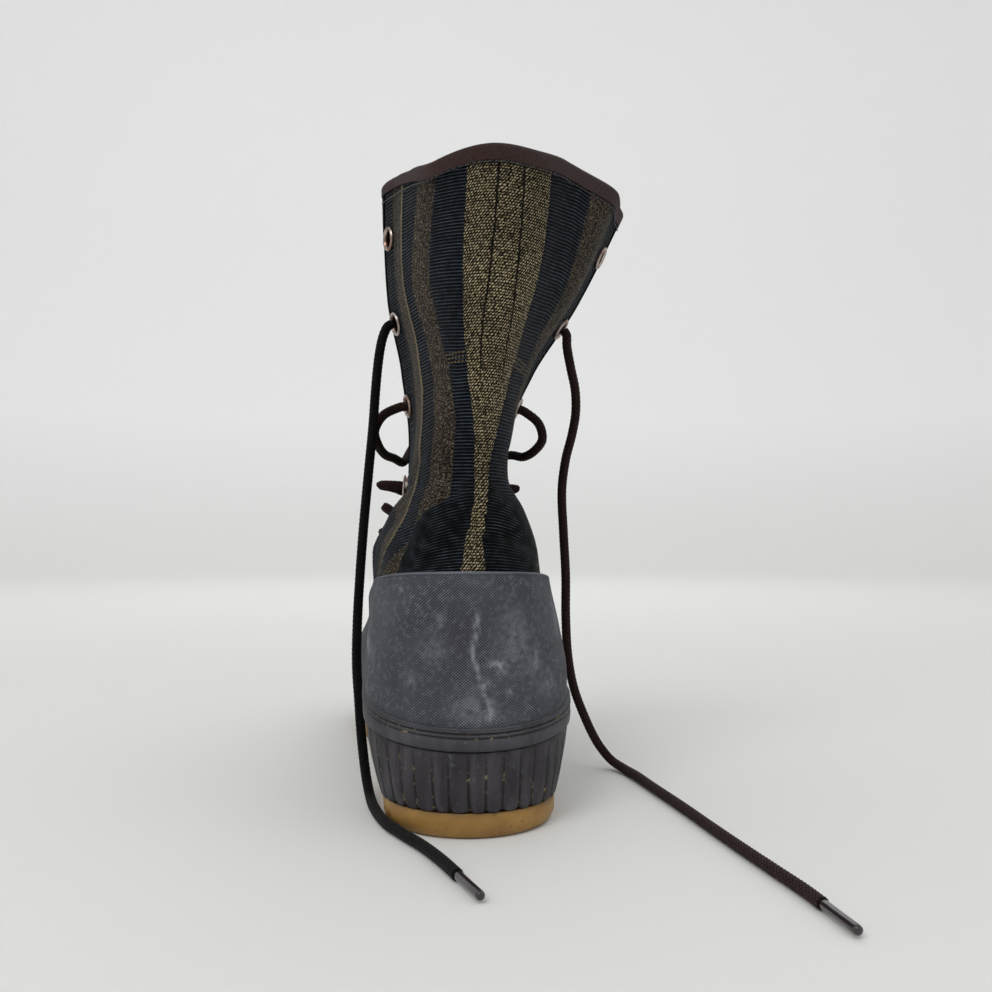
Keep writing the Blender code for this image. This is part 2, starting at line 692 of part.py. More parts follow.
def curve_through(points, count):
    """Evenly spaced points on a smooth curve through hand-chosen points."""
    places = [np.array(point, dtype=float) for point in points]
    chords = [np.linalg.norm(b - a) for a, b in zip(places, places[1:])]
    along = [sum(chords[:k]) for k in range(len(places))]
    dense = []
    for k in range(len(places) - 1):
        before, after = places[max(k - 1, 0)], places[min(k + 2, len(places) - 1)]
        start, end = places[k], places[k + 1]
        slope_a = (end - before) / (along[k + 1] - along[max(k - 1, 0)])
        slope_b = (after - start) / (along[min(k + 2, len(places) - 1)] - along[k])
        for t in np.linspace(0.0, 1.0, CURVE_STEPS, endpoint=False):
            dense.append(start * (1 + 2 * t) * (1 - t) ** 2 + slope_a * chords[k] * t * (1 - t) ** 2
                         + end * t * t * (3 - 2 * t) + slope_b * chords[k] * t * t * (t - 1))
    dense.append(places[-1])
    run = [0.0]
    for a, b in zip(dense, dense[1:]):
        run.append(run[-1] + np.linalg.norm(b - a))
    spots = np.linspace(0.0, run[-1], count)
    return [np.array([np.interp(spot, run, [p[axis] for p in dense]) for axis in range(3)]) for spot in spots]


def lace_arm(slack, side):
    """Route of the lace from one eyelet, hanging slack, over the throat towards the far facing."""
    level = EYELET_LEVELS[slack.eyelet - 1]
    above = EYELET_LEVELS[slack.eyelet - 2]
    turn = side * eyelet_turn(level)
    sag, drop = (slack.inner_sag, LOOP_DROPS[0]) if side > 0 else (slack.outer_sag, LOOP_DROPS[1])
    low = level - drop * sag
    edge, far_edge = side * facing_turn(low), -side * facing_turn(above)
    reach = edge - turn
    mouth = seat_height(turn, level) + EYELET_ROLL / 2
    clear = mouth + LACE_RISE
    route = [skin_point(turn, level, mouth),
             skin_point(turn, level, clear),
             skin_point(turn, level - 0.12 * sag, clear + 0.65 * slack.bulge),
             skin_point(turn, level - 0.45 * sag, clear + slack.bulge),
             skin_point(turn, level - 0.80 * sag, clear + 0.86 * slack.bulge),
             skin_point(turn + 0.3 * reach, level - 1.0 * sag, clear + 0.55 * slack.bulge),
             skin_point(turn + 0.65 * reach, level - (1 + drop) / 2 * sag, clear + 0.22 * slack.bulge),
             skin_point(edge, low, slack.edge)]
    span = 2 - abs(edge) - abs(far_edge)
    for share in (0.25, 0.5, ARM_STOP):
        spot = wrap(side * (abs(edge) + span * share))
        route.append(skin_point(spot, low + (above - low) * share ** SAG_POWER, slack.lift))
    return route


def tube_points(route, radius, sides):
    """Rings of points round a route, turned as little as may be from one to the next."""
    points = []
    across = None
    for k, place in enumerate(route):
        along = route[min(k + 1, len(route) - 1)] - route[max(k - 1, 0)]
        along /= np.linalg.norm(along)
        if across is None:
            across = np.cross(along, [0.0, 0.3, 1.0])
        across = across - np.dot(across, along) * along
        across /= np.linalg.norm(across)
        other = np.cross(along, across)
        for side in range(sides):
            angle = 2 * math.pi * side / sides
            points.append(place + radius * (math.cos(angle) * across + math.sin(angle) * other))
    return points


def tube_solid(name, route, radius, finish, sides):
    """A closed round bar along a route."""
    points = tube_points(route, radius, sides)
    faces = [tuple(range(sides)), tuple(len(points) - 1 - k for k in range(sides))]
    for row in range(len(route) - 1):
        for k in range(sides):
            after = (k + 1) % sides
            here, above = row * sides, (row + 1) * sides
            faces.append((here + k, here + after, above + after, above + k))
    return solid(name, points, faces, finish)


def build_crossings(finish):
    """Each pair of crossing arms as one joined solid."""
    for slack in SLACKS:
        arms = []
        for side, name in ((1, f"lace_cross_{slack.eyelet}"), (-1, f"lace_arm_{slack.eyelet}")):
            route = curve_through(lace_arm(slack, side), ARM_POINTS)
            arms.append(tube_solid(name, route, LACE_DIAMETER / 2, finish, LACE_SIDES))
        join = arms[0].modifiers.new("join", "BOOLEAN")
        join.operation = "UNION"
        join.solver = "EXACT"
        join.object = arms[1]
        arms[1].hide_render = True
        arms[1].display_type = "WIRE"


# The two free ends of the lace, from the second eyelet down to the floor and along it.
MEDIAL_ROUTE = [(28.3, -35.6, 202.5), (30.4, -35.0, 201.0), (32.6, -34.6, 195.4), (34.2, -34.5, 186.0),
                (35.4, -35.0, 173.0), (36.4, -35.5, 158.0), (38.2, -36.0, 138.0), (40.2, -36.0, 115.0),
                (41.8, -36.0, 92.0), (42.8, -35.5, 72.0), (43.0, -34.5, 54.0), (42.0, -33.0, 39.0),
                (40.8, -29.0, 24.0), (39.0, -21.0, 10.5), (37.2, -10.0, 3.6), (35.4, 4.0, 2.4),
                (31.8, 22.0, 2.4), (25.6, 38.0, 2.4), (19.8, 51.5, 2.4), (14.5, 67.5, 2.4),
                (10.6, 82.0, 2.4)]
LATERAL_ROUTE = [(-48.6, -35.6, 201.7), (-49.8, -35.2, 199.4), (-50.0, -35.6, 194.6), (-52.2, -37.6, 185.0),
                 (-54.8, -40.4, 175.5), (-55.6, -43.2, 165.5), (-54.4, -45.5, 156.0), (-51.8, -48.0, 144.0),
                 (-50.4, -49.5, 130.0), (-51.2, -50.0, 111.0), (-52.4, -51.0, 91.0), (-52.6, -52.0, 72.0),
                 (-54.0, -54.0, 54.0), (-57.0, -55.5, 39.0), (-62.6, -58.0, 25.0), (-69.0, -60.0, 12.5),
                 (-75.0, -58.5, 4.6), (-79.0, -48.0, 2.4), (-81.0, -34.0, 2.4), (-82.4, -15.0, 2.4),
                 (-85.2, 17.0, 2.4), (-87.2, 46.0, 2.4), (-89.2, 71.0, 2.4), (-91.2, 93.0, 2.4),
                 (-92.8, 110.0, 2.4), (-93.2, 121.0, 2.4)]
ROUTES = {"medial": (MEDIAL_ROUTE, 28), "lateral": (LATERAL_ROUTE, 36)}   # with the points of each tube


def cord_object(name, route, diameter, finish, resolution=2):
    """A curve of one open line of points, given its thickness by a bevel with closed ends."""
    curve = bpy.data.curves.new(name, "CURVE")
    curve.dimensions = "3D"
    curve.bevel_depth = diameter / 2 * MILLIMETRE
    curve.bevel_resolution = resolution
    curve.use_fill_caps = True
    line = curve.splines.new("POLY")
    line.points.add(len(route) - 1)
    for point, place in zip(line.points, route):
        point.co = (*(float(c) * MILLIMETRE for c in place), 1.0)
    made = bpy.data.objects.new(name, curve)
    bpy.context.scene.collection.objects.link(made)
    made.data.materials.append(finish)
    return made


def build_lace_ends(finish, tip_finish):
    """The free ends and the aglets that close them."""
    for side, (hand, count) in ROUTES.items():
        route = curve_through(hand, count)
        cord_object(f"lace_end_{side}", route, LACE_DIAMETER, finish)
        along = route[-1] - route[-2]
        along /= np.linalg.norm(along)
        start = route[-1] + GAP * along
        tip = [start, start + AGLET_LENGTH / 2 * along, start + AGLET_LENGTH * along]
        tube_solid(f"aglet_{side}", tip, AGLET_DIAMETER / 2, tip_finish, AGLET_SIDES)


# ---------------------------------------------------------------- the boot
def main():
    """Build every piece of the boot."""
    clear_scene()
    gum = material("gum_rubber", (0.38, 0.19, 0.06), 0.45)
    grey = material("grey_rubber", (0.07, 0.075, 0.085), 0.6)
    dark = material("dark_rubber", (0.045, 0.045, 0.05), 0.6)
    cloth = material("striped_cloth", (0.05, 0.045, 0.04), 0.85)
    lining = material("lining_cloth", (0.03, 0.03, 0.035), 0.9)
    foam = material("insole_foam", (0.10, 0.10, 0.10), 0.9)
    tape = material("twill_tape", (0.035, 0.02, 0.02), 0.85)
    nickel = material("nickel", (0.45, 0.36, 0.30), 0.3, 1.0)
    braid = material("braided_lace", (0.02, 0.012, 0.012), 0.9)
    plastic = material("aglet_plastic", (0.02, 0.02, 0.02), 0.25)
    build_outsole(gum)
    build_insole(foam)
    upper = build_upper(cloth)
    build_tongue(lining)
    build_rubber(grey, grey, dark)
    build_binding(tape)
    build_eyelets(upper, nickel)
    build_crossings(braid)
    build_lace_ends(braid, plastic)


main()
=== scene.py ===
"""Duck boot for the right foot: the looks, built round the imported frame.

The boot stands on its sole with the toe to -Y and its inner (medial) side to +X. Lengths in the
tables are millimetres, and a mesh is turned into metres when it is made.
"""
import math
from collections import namedtuple

import bmesh
import bpy
import mathutils
import numpy as np
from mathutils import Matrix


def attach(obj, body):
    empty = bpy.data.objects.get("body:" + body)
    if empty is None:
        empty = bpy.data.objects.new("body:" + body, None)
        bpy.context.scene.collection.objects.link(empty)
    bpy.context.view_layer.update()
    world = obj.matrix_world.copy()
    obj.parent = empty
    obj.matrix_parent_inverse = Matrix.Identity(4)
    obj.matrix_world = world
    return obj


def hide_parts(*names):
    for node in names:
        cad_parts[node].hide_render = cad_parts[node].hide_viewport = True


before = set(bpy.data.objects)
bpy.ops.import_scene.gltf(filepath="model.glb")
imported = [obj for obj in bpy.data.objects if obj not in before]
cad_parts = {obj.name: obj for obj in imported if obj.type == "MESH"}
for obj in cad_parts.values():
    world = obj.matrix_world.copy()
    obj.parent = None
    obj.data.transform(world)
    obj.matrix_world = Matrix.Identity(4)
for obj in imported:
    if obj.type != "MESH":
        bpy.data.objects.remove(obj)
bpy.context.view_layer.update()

bl_info = {
    "name": "Duck boot",
    "version": (1, 0, 0),
    "blender": (4, 5, 0),
    "location": "3D View > Sidebar > Duck Boot",
    "description": "Builds a woven and rubber duck boot, its lace and its stage round a CAD frame",
    "category": "Add Mesh",
}

MM = 0.001

# ---------------------------------------------------------------- the last
# The columns of the girth table, from the feather edge (0) up to the collar (12). "s" runs forward
# from the back of the heel. Half widths are taken at the heel, waist and ball stations, "mid" is how
# far the centre line lies to the inner side there, and the caps are the lengths of the round ends.
GIRTH_FIELDS = ("back_s", "back_z", "side_z", "front_s", "front_z", "heel_half", "waist_half", "ball_half",
                "heel_mid", "waist_mid", "ball_mid", "tip_mid", "heel_cap", "toe_cap")
GIRTHS = np.array([
    (4.0, 9.8, 9.8, 281.0, 9.8, 30.6, 29.8, 40.5, -1.2, -2.5, -2.5, 5.0, 31.0, 64.0),  # feather
    (3.3, 20.0, 20.0, 285.0, 20.0, 33.6, 32.5, 42.5, -1.1, -2.5, -2.5, 5.0, 34.0, 66.0),  # roll
    (3.0, 38.0, 41.0, 286.5, 32.0, 37.2, 35.5, 43.5, -1.0, -2.5, -2.5, 5.0, 38.0, 66.0),  # band
    (2.6, 56.0, 54.0, 281.0, 46.0, 37.4, 35.0, 40.5, -0.6, -2.0, -2.5, 4.5, 38.0, 64.0),  # cheek
    (4.2, 74.0, 70.0, 261.0, 56.0, 35.4, 34.4, 36.0, 0.2, -1.0, -2.0, 3.5, 37.0, 66.0),  # toe top
    (7.5, 92.0, 87.0, 225.0, 65.0, 32.6, 34.2, 33.0, 1.2, 1.2, -0.2, 2.0, 36.0, 70.0),  # vamp
    (10.5, 107.0, 102.0, 188.0, 82.0, 30.6, 34.0, 32.5, 1.1, 2.2, 1.2, 1.0, 34.0, 60.0),  # throat
    (12.5, 121.0, 117.0, 157.0, 104.0, 25.2, 28.6, 27.2, 0.6, 1.4, 1.2, 0.0, 33.0, 36.0),  # instep
    (13.0, 135.0, 134.0, 134.0, 129.0, 18.2, 19.4, 19.2, 0.8, 1.2, 0.8, -0.5, 33.0, 32.0),  # ankle
    (12.0, 155.0, 155.0, 122.0, 153.0, 18.4, 20.3, 20.6, -1.4, -2.0, -2.2, -2.5, 38.0, 32.0),  # low shaft
    (9.5, 184.0, 183.0, 115.0, 181.0, 22.0, 25.4, 26.2, -4.6, -5.8, -6.2, -6.5, 52.0, 30.0),  # mid shaft
    (6.5, 216.0, 214.0, 109.0, 212.0, 33.0, 38.4, 38.8, -8.5, -12.3, -12.6, -12.6, 64.0, 28.0),  # top shaft
    (3.5, 255.5, 252.5, 102.0, 256.0, 44.6, 50.4, 50.4, -12.0, -21.0, -21.5, -21.5, 84.0, 24.0),  # collar
])
THROAT, ANKLE, COLLAR = 6, 8, 12
STATIONS = (0.0, 0.15, 0.45, 0.72, 1.0)  # heel, waist and ball as shares of a girth's length
FACING_LEVELS = (6, 7, 8, 9, 10, 11, 12)
FACING_TURNS = (1.0, 0.81, 0.755, 0.725, 0.70, 0.69, 0.68)
FACING_FLARE, FLARE_REACH = 3.4, 0.13
COLLAR_TURNS = (-1.0, -0.6, -0.32, -0.1, 0.06, 0.26, 0.42, 0.6, 1.0)  # the slack collar wanders up and down
COLLAR_RISES = (0.0, 0.0, 1.0, -1.9, -0.9, -1.8, 3.9, 8.5, 0.0)

SOLE_LENGTH, HEEL_BACK_Y, TOE_SPRING, SPRING_START = 292.0, 42.0, 12.0, 216.0
WALL, GAP, OVERLAY_GAP = 2.4, 0.3, 0.9
CLOTH_THICK = 1.2  # outer cloth; the lining makes up the rest of the wall
OUTSOLE_TOP, GUM_OUTSET, GUM_ROUND, GUM_WALL = 9.5, 2.9, 3.4, 0.45
RUBBER_THICK, FOXING_THICK, BAND_THICK, TONGUE_THICK, BINDING_THICK = 2.0, 3.2, 4.0, 1.8, 0.9
COUNTER_END, COUNTER_SEAM = 0.50, 0.004

# Heights of the rubber lines above the sole's own top line, at distances forward of the heel.
RUBBER_S = (0.0, 20.0, 50.0, 90.0, 130.0, 160.0, 188.0, 215.0, 292.0)
FOXING_TOP = (31.0, 34.3, 38.5, 36.5, 29.5, 25.5, 24.0, 24.5, 27.0)
BAND_TOP = (39.2, 43.2, 50.0, 47.0, 38.5, 33.0, 31.0, 31.5, 34.5)
RUBBER_TOP = (97.0, 95.5, 90.5, 80.0, 71.0, 72.0, 80.0, 96.0, 110.0)

EYELET_LEVELS = (11.53, 10.69, 9.50, 8.05, 7.44, 6.96, 6.52)
EYELET_INSET, EYELET_FLANGE, EYELET_BARREL, EYELET_BORE = 10.5, 10.4, 8.0, 6.8
EYELET_ROLL, FLANGE_CLEAR = 0.8, 1.0
LACE_DIAMETER, AGLET_LENGTH, AGLET_DIAMETER = 4.2, 20.0, 3.2


def smooth(x, xs, ys):
    """Value at x of the steady curve through the points, level below them and straight above."""
    x, xs = np.asarray(x, dtype=float), np.asarray(xs, dtype=float)
    ys = np.stack([np.broadcast_to(y, x.shape) for y in ys])
    steps = np.diff(ys, axis=0) / np.diff(xs).reshape(-1, *[1] * x.ndim)
    product, total = steps[:-1] * steps[1:], steps[:-1] + steps[1:]
    inner = np.where(product > 0, 2 * product / np.where(product > 0, total, 1.0), 0.0)
    slopes = np.concatenate([steps[:1], inner, steps[-1:]])
    i = np.clip(np.searchsorted(xs, x, side="right") - 1, 0, len(xs) - 2)
    width = xs[i + 1] - xs[i]
    t = np.clip((x - xs[i]) / width, 0.0, 1.0)
    y_low, y_high, slope_low, slope_high = (
        np.take_along_axis(rows, k[None], axis=0)[0]
        for rows, k in ((ys, i), (ys, i + 1), (slopes, i), (slopes, i + 1)))
    value = y_low * (1 + 2 * t) * (1 - t) ** 2 + slope_low * width * t * (1 - t) ** 2
    value = value + y_high * t * t * (3 - 2 * t) + slope_high * width * t * t * (t - 1)
    return value + slopes[-1] * np.maximum(0.0, x - xs[-1])


def step(x, start, end):
    """0 before start and 1 after end, with a smooth rise between them."""
    t = np.clip((np.asarray(x, dtype=float) - start) / (end - start), 0.0, 1.0)
    return t * t * (3 - 2 * t)


def wrap(turn):
    """The same place round the boot with turn between -1 and 1."""
    return (np.asarray(turn, dtype=float) + 1) % 2 - 1


def toe_spring(s):
    """Lift of the sole and all that stands on it towards the toe."""
    reach = np.maximum(0.0, (s - SPRING_START) / (SOLE_LENGTH - SPRING_START))
    return TOE_SPRING * reach ** 1.8


def facing_turn(level):
    """The turn of the facing's front edge at a level above the throat."""
    return np.where(np.asarray(level) <= THROAT, 1.0, smooth(level, FACING_LEVELS, FACING_TURNS))


def last_point(turn, level):
    """Points of the upper's outer face, in mm.

    turn runs from -1 round the outer side to 0 at the back and on round the inner side to 1, where
    it meets -1 at the middle of the front. level is the number of the girth, from 0 at the feather.
    """
    turn, level = np.broadcast_arrays(np.asarray(turn, dtype=float), np.asarray(level, dtype=float))
    girth_numbers = range(len(GIRTHS))
    row = {field: smooth(level, girth_numbers, GIRTHS[:, k]) for k, field in enumerate(GIRTH_FIELDS)}
    share = (1 - np.cos(np.pi * np.abs(turn))) / 2
    length = row["front_s"] - row["back_s"]
    s = share * length
    half = smooth(share, STATIONS, [row[f] for f in ("heel_half", "heel_half", "waist_half", "ball_half",
                                                     "ball_half")])
    toe_cap = np.minimum(row["toe_cap"], length - row["heel_cap"])
    half = half * np.sqrt(1 - np.clip(1 - s / row["heel_cap"], 0.0, 1.0) ** 2)
    half = half * np.sqrt(1 - np.clip(1 - (length - s) / toe_cap, 0.0, 1.0) ** 2)
    mid = smooth(share, STATIONS, [row[f] for f in ("heel_mid", "heel_mid", "waist_mid", "ball_mid",
                                                    "tip_mid")])
    z = smooth(share, (0.0, 0.45, 1.0), (row["back_z"], row["side_z"], row["front_z"]))
    near = np.maximum(0.0, 1 - ((np.abs(turn) - facing_turn(level)) / FLARE_REACH) ** 2)
    half = half + FACING_FLARE * np.clip((level - ANKLE) / 2, 0.0, 1.0) * near * near
    z = z + smooth(turn, COLLAR_TURNS, COLLAR_RISES) * np.maximum(0.0, level - COLLAR + 1)
    s = s + row["back_s"]
    return np.stack([mid + np.where(turn >= 0, half, -half), HEEL_BACK_Y - s, z + toe_spring(s)], axis=-1)


def last_normal(turn, level):
    """Unit vectors that point out of the upper there."""
    across = last_point(wrap(turn + 0.01), level) - last_point(wrap(turn - 0.01), level)
    up = last_point(turn, level + 0.05) - last_point(turn, np.maximum(0.0, level - 0.05))
    normal = np.cross(up, across)
    return normal / np.linalg.norm(normal, axis=-1, keepdims=True)


def skin_point(turn, level, offset=0.0):
    """Points that stand off the upper's outer face by offset mm."""
    turn, level = np.asarray(turn, dtype=float), np.asarray(level, dtype=float)
    return last_point(turn, level) + np.asarray(offset, dtype=float)[..., None] * last_normal(turn, level)


def foot_s(points):
    """Distance forward of the heel's back."""
    return HEEL_BACK_Y - points[..., 1]


def line_height(s, line):
    """Height of a rubber line at distances forward of the heel."""
    return smooth(s, RUBBER_S, line) + toe_spring(s)


def level_at(turn, line, shift=0.0, highest=THROAT - 0.12):
    """The level where each column of points crosses a rubber line moved by shift mm."""
    turn = np.asarray(turn, dtype=float)
    low, high = np.zeros_like(turn), np.full_like(turn, highest)
    for _ in range(22):
        middle = (low + high) / 2
        point = last_point(turn, middle)
        below = point[..., 2] < line_height(foot_s(point), line) + shift
        low, high = np.where(below, middle, low), np.where(below, high, middle)
    return (low + high) / 2


def eyelet_turn(level):
    """The turn at which an eyelet sits behind the facing's edge, on the inner side."""
    edge = float(facing_turn(level))
    front = last_point(edge, level)
    low, high = edge - 0.25, edge
    for _ in range(20):
        middle = (low + high) / 2
        if np.linalg.norm(last_point(middle, level) - front) > EYELET_INSET:
            low = middle
        else:
            high = middle
    return (low + high) / 2


def seat_height(turn, level):
    """How high a flat flange has to sit to clear the curved skin beneath it."""
    origin, outward = last_point(turn, level), last_normal(turn, level)
    across, up = np.meshgrid((-0.05, -0.035, -0.02, 0.0, 0.02, 0.035, 0.05),
                             (-0.5, -0.35, -0.2, 0.0, 0.2, 0.35, 0.5))
    away = last_point(turn + across, level + up) - origin
    height = away @ outward
    flat = np.linalg.norm(away - height[..., None] * outward, axis=-1)
    return max(0.0, float(height[flat < 0.65 * EYELET_FLANGE].max())) + FLANGE_CLEAR


Eyelet = namedtuple("Eyelet", "node turn level centre outward seat")


def eyelet_places():
    """Where each of the fourteen eyelets sits on the skin."""
    places = []
    for number, level in enumerate(EYELET_LEVELS, start=1):
        for side, sign in (("m", 1), ("l", -1)):
            turn = sign * eyelet_turn(level)
            places.append(Eyelet(f"eyelet_{side}{number}", turn, level, last_point(turn, level),
                                 last_normal(turn, level), seat_height(turn, level)))
    return places


EYELETS = eyelet_places()


# ---------------------------------------------------------------- mesh helpers
def finish_mesh(name, points, groups, materials, attributes=None, index=None, sharp=50.0):
    """A closed mesh object from points in mm, its faces turned outwards, smooth but for sharp edges.

    groups are arrays of faces, one array for each number of corners.
    """
    points = np.asarray(points, dtype=float)
    used = np.unique(np.concatenate([np.ravel(group) for group in groups]))
    renumbered = np.zeros(len(points), dtype=int)
    renumbered[used] = np.arange(len(used))
    mesh = bpy.data.meshes.new(name)
    faces = [face for group in groups for face in renumbered[group].tolist()]
    mesh.from_pydata((points[used] * MM).tolist(), [], faces)
    for key, values in (attributes or {}).items():
        layer = mesh.attributes.new(key, "FLOAT", "POINT")
        layer.data.foreach_set("value", np.asarray(values, dtype=np.float32).ravel()[used])
    if index is not None:
        mesh.polygons.foreach_set("material_index", np.asarray(index, dtype=np.int32))
    work = bmesh.new()
    work.from_mesh(mesh)
    bmesh.ops.recalc_face_normals(work, faces=work.faces[:])
    work.to_mesh(mesh)
    work.free()
    for finish in materials:
        mesh.materials.append(finish)
    mesh.shade_smooth()
    mesh.set_sharp_from_angle(angle=math.radians(sharp))
    made = bpy.data.objects.new(name, mesh)
    bpy.context.scene.collection.objects.link(made)
    return made


def run_along(points, axis=0):
    """Distance run along rows of points, from 0 at the first of each row."""
    lengths = np.linalg.norm(np.diff(points, axis=axis), axis=-1)
    return np.insert(np.cumsum(lengths, axis=axis), 0, 0.0, axis=axis)


def grid_cells(rows, columns, closed):
    """The four corner numbers of every cell of a grid, as rows by cells by corners."""
    across = columns if closed else columns - 1
    r, c = np.meshgrid(np.arange(rows - 1) * columns, np.arange(across), indexing="ij")
    after = (c + 1) % columns
    return np.stack([r + c, r + after, r + columns + after, r + columns + c], axis=-1)


def shell(name, outer, inner, materials, keep=None, closed=False, attributes=None, sharp=50.0):
    """A closed sheet of some thickness between two grids of points, without the cells not kept.

    The second material, where there is one, is for the inner side.
    """
    rows, columns = outer.shape[:2]
    cells = grid_cells(rows, columns, closed)
    if keep is None:
        keep = np.ones(cells.shape[:2], dtype=bool)
    inside = rows * columns
    front = cells[keep]
    back = cells[keep][:, ::-1] + inside
    padded_rows = np.pad(keep, ((1, 1), (0, 0)))
    low_edge = padded_rows[1:] != padded_rows[:-1]
    numbers = np.arange(rows * columns).reshape(rows, columns)
    start = numbers[:, : keep.shape[1]]
    end = np.roll(numbers, -1, axis=1)[:, : keep.shape[1]]
    across_walls = np.stack([start, end, end + inside, start + inside], axis=-1)[low_edge]
    if closed:
        side_edge = keep != np.roll(keep, 1, axis=1)
    else:
        padded_columns = np.pad(keep, ((0, 0), (1, 1)))
        side_edge = padded_columns[:, 1:] != padded_columns[:, :-1]
    below, above = numbers[:-1], numbers[1:]
    up_walls = np.stack([below, above, above + inside, below + inside], axis=-1)[side_edge]
    faces = np.concatenate([front, back, across_walls, up_walls])
    index = np.zeros(len(faces), dtype=int)
    if len(materials) > 1:
        index[len(front): len(front) + len(back)] = 1
    points = np.concatenate([outer.reshape(-1, 3), inner.reshape(-1, 3)])
    doubled = {key: np.tile(np.ravel(values), 2) for key, values in (attributes or {}).items()}
    return finish_mesh(name, points, [faces], materials, doubled, index, sharp)


def swept_ring(name, rings, materials, attributes=None, sharp=50.0):
    """A solid swept round the boot: each ring is one corner of its section, in order, and closes."""
    corners, columns = rings.shape[:2]
    faces = grid_cells(corners + 1, columns, True).reshape(-1, 4) % (corners * columns)
    return finish_mesh(name, rings.reshape(-1, 3), [faces], materials, attributes, None, sharp)


def swept_bar(name, sections, materials, attributes=None, sharp=50.0):
    """A closed bar: a ring of points for each section along it, with a fan that fills each end."""
    count, corners = sections.shape[:2]
    sides = grid_cells(count, corners, True).reshape(-1, 4)
    ring = np.arange(corners)
    after = (ring + 1) % corners
    last = (count - 1) * corners
    foot, head = np.full(corners, count * corners), np.full(corners, count * corners + 1)
    fans = np.concatenate([np.stack([after, ring, foot], axis=-1),
                           np.stack([ring + last, after + last, head], axis=-1)])
    points = np.concatenate([sections.reshape(-1, 3), sections[[0, -1]].mean(axis=1)])
    grown = {key: np.append(values, np.ravel(values)[[0, -1]]) for key, values in (attributes or {}).items()}
    return finish_mesh(name, points, [sides, fans], materials, grown, None, sharp)


def tube(name, route, radii, sides, materials, attributes=None):
    """A closed tube along a route. radii is one number, or one for each point of each ring."""
    return swept_bar(name, tube_sections(route, radii, sides), materials, attributes)


def tube_sections(route, radii, sides):
    """Rings of points round a route, turned as little as may be from one to the next."""
    route = np.asarray(route, dtype=float)
    along = np.gradient(route, axis=0)
    along /= np.linalg.norm(along, axis=1, keepdims=True)
    across = np.zeros_like(along)
    turned = np.cross(along[0], (0.0, 0.3, 1.0))
    for k, direction in enumerate(along):
        turned = turned - turned @ direction * direction
        turned /= np.linalg.norm(turned)
        across[k] = turned
    other = np.cross(along, across)
    angle = 2 * math.pi * np.arange(sides) / sides
    radii = np.broadcast_to(radii, (len(route), sides))[..., None]
    spokes = np.cos(angle)[None, :, None] * across[:, None] + np.sin(angle)[None, :, None] * other[:, None]
    return route[:, None] + radii * spokes


def curve_through(points, spacing):
    """Evenly spaced points, about spacing mm apart, on a smooth curve through given points."""
    places = np.asarray(points, dtype=float)
    chords = np.linalg.norm(np.diff(places, axis=0), axis=1)
    along = run_along(places)
    dense = []
    for k in range(len(places) - 1):
        before, after = max(k - 1, 0), min(k + 2, len(places) - 1)
        start, end = places[k], places[k + 1]
        slope_a = (end - places[before]) / (along[k + 1] - along[before])
        slope_b = (places[after] - start) / (along[after] - along[k])
        for t in np.linspace(0.0, 1.0, 12, endpoint=False):
            dense.append(start * (1 + 2 * t) * (1 - t) ** 2 + slope_a * chords[k] * t * (1 - t) ** 2
                         + end * t * t * (3 - 2 * t) + slope_b * chords[k] * t * t * (t - 1))
    dense = np.array(dense + [places[-1]])
    run = run_along(dense)
    spots = np.linspace(0.0, run[-1], max(2, round(run[-1] / spacing) + 1))
    return np.stack([np.interp(spots, run, dense[:, axis]) for axis in range(3)], axis=-1)


def object_group(piece, nodes=()):
    """Say what a finished piece rides on, and hide the CAD nodes that it stands for."""
    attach(piece, "root")
    if nodes:
        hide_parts(*nodes)
    return piece


# ---------------------------------------------------------------- material helpers
# Kinds of node by a plain word: the node, its settings, its inputs in order and the output that is wanted.
NodeKind = namedtuple("NodeKind", "node settings inputs output")
NODE_KINDS = {
    "mix": NodeKind("ShaderNodeMix", {"data_type": "RGBA"}, (0, 6, 7), 2),
    "stretch": NodeKind("ShaderNodeMapRange", {}, (0, 1, 2, 3, 4), 0),
    "ramp": NodeKind("ShaderNodeValToRGB", {}, (0,), 0),
    "noise": NodeKind("ShaderNodeTexNoise", {}, ("Vector", "Scale", "Detail"), 0),
    "mapping": NodeKind("ShaderNodeMapping", {}, ("Vector", "Location", "Scale"), 0),
    "place": NodeKind("ShaderNodeTexCoord", {}, (), "Object"),
    "axes": NodeKind("ShaderNodeSeparateXYZ", {}, (0,), None),
    "bump": NodeKind("ShaderNodeBump", {}, ("Height", "Distance", "Strength"), 0),
    "attribute": NodeKind("ShaderNodeAttribute", {}, (), "Fac"),
    "group_in": NodeKind("NodeGroupInput", {}, (), None),
    "group_out": NodeKind("NodeGroupOutput", {}, (0,), None),
    "named_attribute": NodeKind("GeometryNodeInputNamedAttribute", {}, ("Name",), 0),
    "surface_normal": NodeKind("GeometryNodeInputNormal", {}, (), 0),
    "vector": NodeKind("ShaderNodeVectorMath", {}, (0, 1), 0),
    "scaled_vector": NodeKind("ShaderNodeVectorMath", {"operation": "SCALE"}, (0, "Scale"), 0),
    "move": NodeKind("GeometryNodeSetPosition", {}, ("Geometry", "Offset"), 0),
    "object": NodeKind("GeometryNodeObjectInfo", {}, ("Object",), "Geometry"),
    "turn": NodeKind("FunctionNodeAxesToRotation", {}, ("Primary Axis", "Secondary Axis"), 0),
    "points": NodeKind("GeometryNodeMeshToPoints", {}, ("Mesh",), 0),
    "instances": NodeKind("GeometryNodeInstanceOnPoints", {}, ("Points", "Instance", "Rotation", "Scale"), 0),
    "realize": NodeKind("GeometryNodeRealizeInstances", {}, (0,), 0),
    "set_material": NodeKind("GeometryNodeSetMaterial", {}, (0, "Material"), 0),
}
